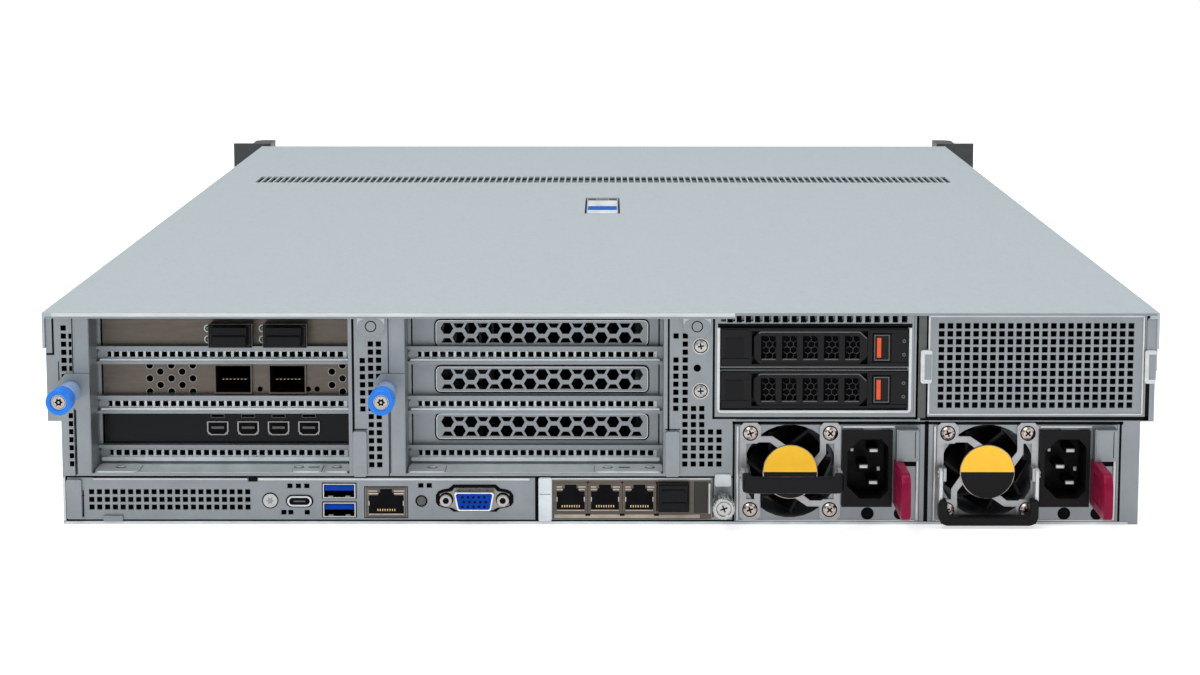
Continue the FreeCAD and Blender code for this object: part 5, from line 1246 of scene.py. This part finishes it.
class RACK_OT_supplies(bpy.types.Operator):
    """Power supplies: case, badge, handle, inlet and release tongue"""
    bl_idname = "rack_server.supplies"
    bl_label = "Power supplies"

    def execute(self, context):
        for n, pose in enumerate(("standing", "hanging")):
            name, left = f"supply_{n + 1}", 54.3 + 79 * n
            x, z = left + 21.7, 21.8
            self.case(name, left)
            self.badge(name, x, z)
            self.inlet(name, left + 42.4)
            self.handle(name, x, z, pose)
            self.tongue(name, left + 63.2, left + 67.0)
        return {"FINISHED"}

    def case(self, name, left):
        dark = dark_hollow()
        ports = [(left + 53.0, 4.4), (left + 66.2, 4.4)]
        holes = Shape()
        for x, z in ports:
            holes.rod((x, -1, z), (x, 8, z), 2.6, dark, segments=24)
        pierced(f"{name}_case", f"{name}_shell", holes, zinc(), name)
        plate = Shape()
        for x, z in ports:
            plate.rod((x, 0.5, z), (x, 0.8, z), 2.7, dark, segments=24)
        plate.prism(rounded(left + 64.4, 27.6, left + 72.8, 39.5, 0.8), -6.4, -5.9, zinc(), 0.25)
        plate.block((left + 65.2, -6.5, 28.6), (left + 70.4, -6.3, 38.6), zinc(), 0.2)
        seam(plate, (left + 71.2, 28.4), (left + 71.2, 38.8), width=0.3, face=-6.4)
        plate.block((left + 65.0, -0.3, 23.8), (left + 72.6, 0.05, 27.0), dark)
        # The bright strips along the case's edges are painted highlight.
        plate.block((left + 0.2, -0.7, 1.6), (left + 1.0, 0, 40.2), edge_highlight_and_plating(), 0.2)
        plate.block((left + 42.8, -0.7, 39.4), (left + 63.5, 0, 40.3), edge_highlight_and_plating(), 0.2)
        plate.block((left + 50.8, -0.9, 38.6), (left + 58.0, 0, 39.5), zinc(), 0.2)
        plate.block((left + 72.2, -0.7, 1.8), (left + 73.2, 0, 26.0), edge_highlight_and_plating(), 0.2)
        plate.block((left + 1.4, -0.3, 1.4), (left + 72.0, 0.02, 1.9), edge_highlight_and_plating(), 0.1)
        plate.done(f"{name}_edges", name, "galvanised")

    def badge(self, name, x, z):
        badge = Shape()
        radius = size("badge_radius")
        disc = [(0.01, -1.8), (radius - 0.4, -1.8), (radius, -1.65), (radius, -1.0)]
        badge.lathe(disc, (x, z), warm_steel(), 48)
        # The yellow half glows faintly, as painted light.
        for start, paint in ((0, badge_yellow_painted_glow()), (180, black_plastic())):
            badge.prism(arc(x, z, radius - 0.3, start, start + 180, 30), -2.0, -1.75, paint)
        for u in (-16, 16):
            for v in (-15.6, 15.6):
                domed_screw(badge, x + u, z + v, -1.0, 2.75, 0.8, warm_steel(), 20 + 25 * (u > v))
        badge.done(f"{name}_badge", name, "badge")

    def inlet(self, name, x):
        mouth = Shape()
        low, high = 7.7, 38.7
        middle = (low + high) / 2
        rim = [(x + 7.6, low + 3.0), (x + 15.2, low + 3.0), (x + 18.6, low + 6.8), (x + 18.6, high - 6.8),
               (x + 15.2, high - 3.0), (x + 7.6, high - 3.0), (x + 1.9, high - 8.6), (x + 1.9, low + 8.6)]
        corners = [(x + u, v) for u, v in (
            (0.2, low + 0.2), (19.9, low + 0.2), (19.9, high - 0.2), (0.2, high - 0.2))]
        outer = [corners[(n + 1) // 2 % 4] for n in range(len(rim))]
        edge = mouth.loop(rim, -3.05)
        mouth.band(edge, mouth.loop(outer, -3.05), black_plastic())
        mouth.band(edge, mouth.loop(rim, 8), black_plastic())
        for u, z in ((x + 13, middle + 6.6), (x + 9, middle), (x + 13, middle - 6.6)):
            mouth.block((u - 1.7, 2.0, z - 0.7), (u + 1.7, 16, z + 0.7), edge_highlight_and_plating(), 0.25)
        mouth.block((x + 3.4, 0.5, high - 9.0), (x + 4.8, 2.0, high - 7.6), shell_steel(), 0.2)
        mouth.block((x + 14.2, 1.5, middle - 1.6), (x + 15.6, 3.0, middle + 0.2), shell_steel(), 0.2)
        mouth.done(f"{name}_mouth", name, "black_plastic")

    def tongue(self, name, left, right):
        tongue = Shape()
        low, high, near, far = 8.1, 26.7, -33.4, -0.6
        outline = [
            (far, low + 1), (far, high - 1), (far - 1, high), (near + 5.0, high), (near + 2.2, high - 1.0),
            (near + 0.5, high - 3.4), (near, high - 6), (near, low + 3.2), (near + 0.8, low + 1.0),
            (near + 2.8, low), (far - 1, low)]
        tongue.prism(outline, left, right, tongue_red(), 0.95, plane="side")
        # The inset on each side is painted darker as painted shade in its recess.
        inset = [(near + 5, low + 3.6), (near + 5, high - 7), (near + 8, high - 3.6), (far - 8, high - 3.6),
                 (far - 8, low + 3.6)]
        tongue.prism(inset, left - 0.08, left + 0.4, tongue_painted_shade(), plane="side")
        tongue.prism(inset, right - 0.4, right + 0.08, tongue_painted_shade(), plane="side")
        for n in range(4):
            at = near + 8 + n * 4
            tongue.block((left - 0.25, at, low + 5), (left + 0.1, at + 1.4, high - 8), tongue_red(), 0.1)
        tongue.done(f"{name}_tongue_shape", f"{name}_release", "magenta", [f"{name}_tongue"], smooth=True)

    def handle(self, name, x, z, pose):
        """A U of round-edged bar on two steel legs; out is how far a point is from the hinge."""
        hanging = pose == "hanging"
        grip = Shape()
        half, end, top, hinge = 19.9, 20.6, 10.4, -5.8
        bar = [(half - 4.8, end - 3.5), (half - 3.6, end - 4.7), (half - 3.2, top), (half - 0.6, top - 0.4),
               (half, top + 0.6), (half, end - 3.2), (half - 0.9, end - 0.9), (half - 3.2, end)]
        if hanging:
            grip.prism([(u, z - out) for u, out in mirrored(x, 0, bar)], -9.1, -2.5, black_plastic(), 0.9)
        else:
            outline = [(u, hinge - out) for u, out in mirrored(x, 0, bar)]
            grip.prism(outline, z - 3.9, z + 2.6, black_plastic(), 0.9, plane="floor")
        leg = [(-2.4, -1.4), (-1.4, -2.2), (9.0, -2.2), (12.0, -1.6),
               (12.0, 1.6), (9.0, 2.2), (-1.4, 2.2), (-2.4, 1.4)]
        points = [(hinge + w, z - out) if hanging else (hinge - out, z + w) for out, w in leg]
        for side in (-1, 1):
            face = x + side * half
            a, b = sorted((face - side * 1.4, face))
            grip.prism(points, a, b, edge_highlight_and_plating(), 0.15, plane="side")
            grip.rod((face - side * 0.1, hinge, z), (face + side * 0.6, hinge, z), 1.9, warm_steel(),
                     segments=24, bevel=0.3)
        grip.done(f"{name}_grip_shape", f"{name}_grip", "black_plastic", [f"{name}_handle"])


NODE_FINISHES = {
    "supply_1_guard": guard_zinc,
    "supply_2_guard": guard_zinc,
    "network_sockets": nickel,
    "transceiver_cages": nickel,
    "usb_ports": shell_steel,
    "display_ports": shell_steel,
}


class RACK_OT_finishes(bpy.types.Operator):
    """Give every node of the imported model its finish"""
    bl_idname = "rack_server.finishes"
    bl_label = "Finishes"

    def execute(self, context):
        for part in frame["record"]["subparts"]:
            target = frame["nodes"][part["node"]]
            material = NODE_FINISHES.get(part["node"], SLOT_FINISHES[part["material_slot"]])()
            if not target.material_slots:
                target.data.materials.append(material)
            for held in target.material_slots:
                held.material = material
        return {"FINISHED"}


class RACK_OT_stage(bpy.types.Operator):
    """Set up the floor, the light and the camera"""
    bl_idname = "rack_server.stage"
    bl_label = "Stage"

    def execute(self, context):
        scene = context.scene
        scene.view_settings.view_transform = "Standard"
        world = bpy.data.worlds.new("studio")
        world.use_nodes = True
        scene.world = world
        tree = world.node_tree
        light = tree.nodes["Background"]
        light.inputs["Color"].default_value = (0.96, 0.98, 1, 1)
        rays = tree.nodes.new("ShaderNodeLightPath")
        level = tree.nodes.new("ShaderNodeMapRange")
        level.inputs["To Min"].default_value = 0.50
        level.inputs["To Max"].default_value = 1.0
        tree.links.new(rays.outputs["Is Camera Ray"], level.inputs["Value"])
        tree.links.new(level.outputs["Result"], light.inputs["Strength"])

        plane = bmesh.new()
        bmesh.ops.create_grid(plane, x_segments=1, y_segments=1, size=6)
        mesh = bpy.data.meshes.new("floor")
        plane.to_mesh(mesh)
        plane.free()
        floor = bpy.data.objects.new("floor", mesh)
        floor.location.z = -0.0002
        scene.collection.objects.link(floor)
        floor.data.materials.append(self.floor_paint())

        for name, place, size, power, spin in (
                ("key", (-0.9, -1.5, 1.9), 1.4, 16, (38, 0, -28)),
                ("fill", (1.5, -1.3, 1.0), 1.6, 6, (60, 0, 50)),
                ("top", (0.0, 0.5, 2.2), 2.0, 26, (-12, 0, 0))):
            lamp = bpy.data.lights.new(name, "AREA")
            lamp.shape = "DISK"
            lamp.size = size
            lamp.energy = power
            holder = bpy.data.objects.new(name, lamp)
            holder.location = place
            holder.rotation_euler = [math.radians(a) for a in spin]
            scene.collection.objects.link(holder)

        seen = bpy.data.cameras.new("camera")
        seen.sensor_width = 36
        seen.lens = sizes().lens
        seen.clip_start = 0.01
        eye = bpy.data.objects.new("camera", seen)
        eye.location = (sizes().camera_side, REAR - sizes().camera_distance, sizes().camera_height)
        eye.rotation_euler = (math.pi / 2 - sizes().tilt, 0, sizes().turn)
        scene.collection.objects.link(eye)
        scene.camera = eye
        return {"FINISHED"}

    def floor_paint(self):
        made = Finish("floor_white", (0.93, 0.93, 0.93), 0.9)
        rays = made.tree.nodes.new("ShaderNodeLightPath")
        both = made.tree.nodes.new("ShaderNodeMath")
        both.operation = "MAXIMUM"
        made.tree.links.new(rays.outputs["Is Camera Ray"], both.inputs[0])
        made.tree.links.new(rays.outputs["Is Glossy Ray"], both.inputs[1])
        glow = made.tree.nodes.new("ShaderNodeMath")
        glow.operation = "MULTIPLY"
        glow.inputs[1].default_value = 0.62
        made.tree.links.new(both.outputs[0], glow.inputs[0])
        made.shader.inputs["Emission Color"].default_value = (1, 1, 1, 1)
        made.tree.links.new(glow.outputs[0], made.shader.inputs["Emission Strength"])
        return made.material


CLASSES = [
    RackServerColours, RackServerSizes, RACK_OT_stage, RACK_OT_finishes, RACK_OT_cover, RACK_OT_wall,
    RACK_OT_risers, RACK_OT_cards, RACK_OT_thumbscrews, RACK_OT_row, RACK_OT_drives, RACK_OT_supplies,
]


class RACK_PT_panel(bpy.types.Panel):
    bl_label = "Rack server"
    bl_idname = "RACK_PT_panel"
    bl_space_type = "VIEW_3D"
    bl_region_type = "UI"
    bl_category = "Rack server"

    def draw(self, context):
        for made in CLASSES:
            if issubclass(made, bpy.types.Operator):
                self.layout.operator(made.bl_idname)


def register():
    for made in [*CLASSES, RACK_PT_panel]:
        bpy.utils.register_class(made)
    bpy.types.Scene.rack_server_colours = PointerProperty(type=RackServerColours)
    bpy.types.Scene.rack_server_sizes = PointerProperty(type=RackServerSizes)


def unregister():
    del bpy.types.Scene.rack_server_sizes
    del bpy.types.Scene.rack_server_colours
    for made in reversed([*CLASSES, RACK_PT_panel]):
        bpy.utils.unregister_class(made)


def main():
    register()
    for made in CLASSES:
        if issubclass(made, bpy.types.Operator):
            group, action = made.bl_idname.split(".")
            getattr(getattr(bpy.ops, group), action)()


if __name__ == "__main__":
    main()
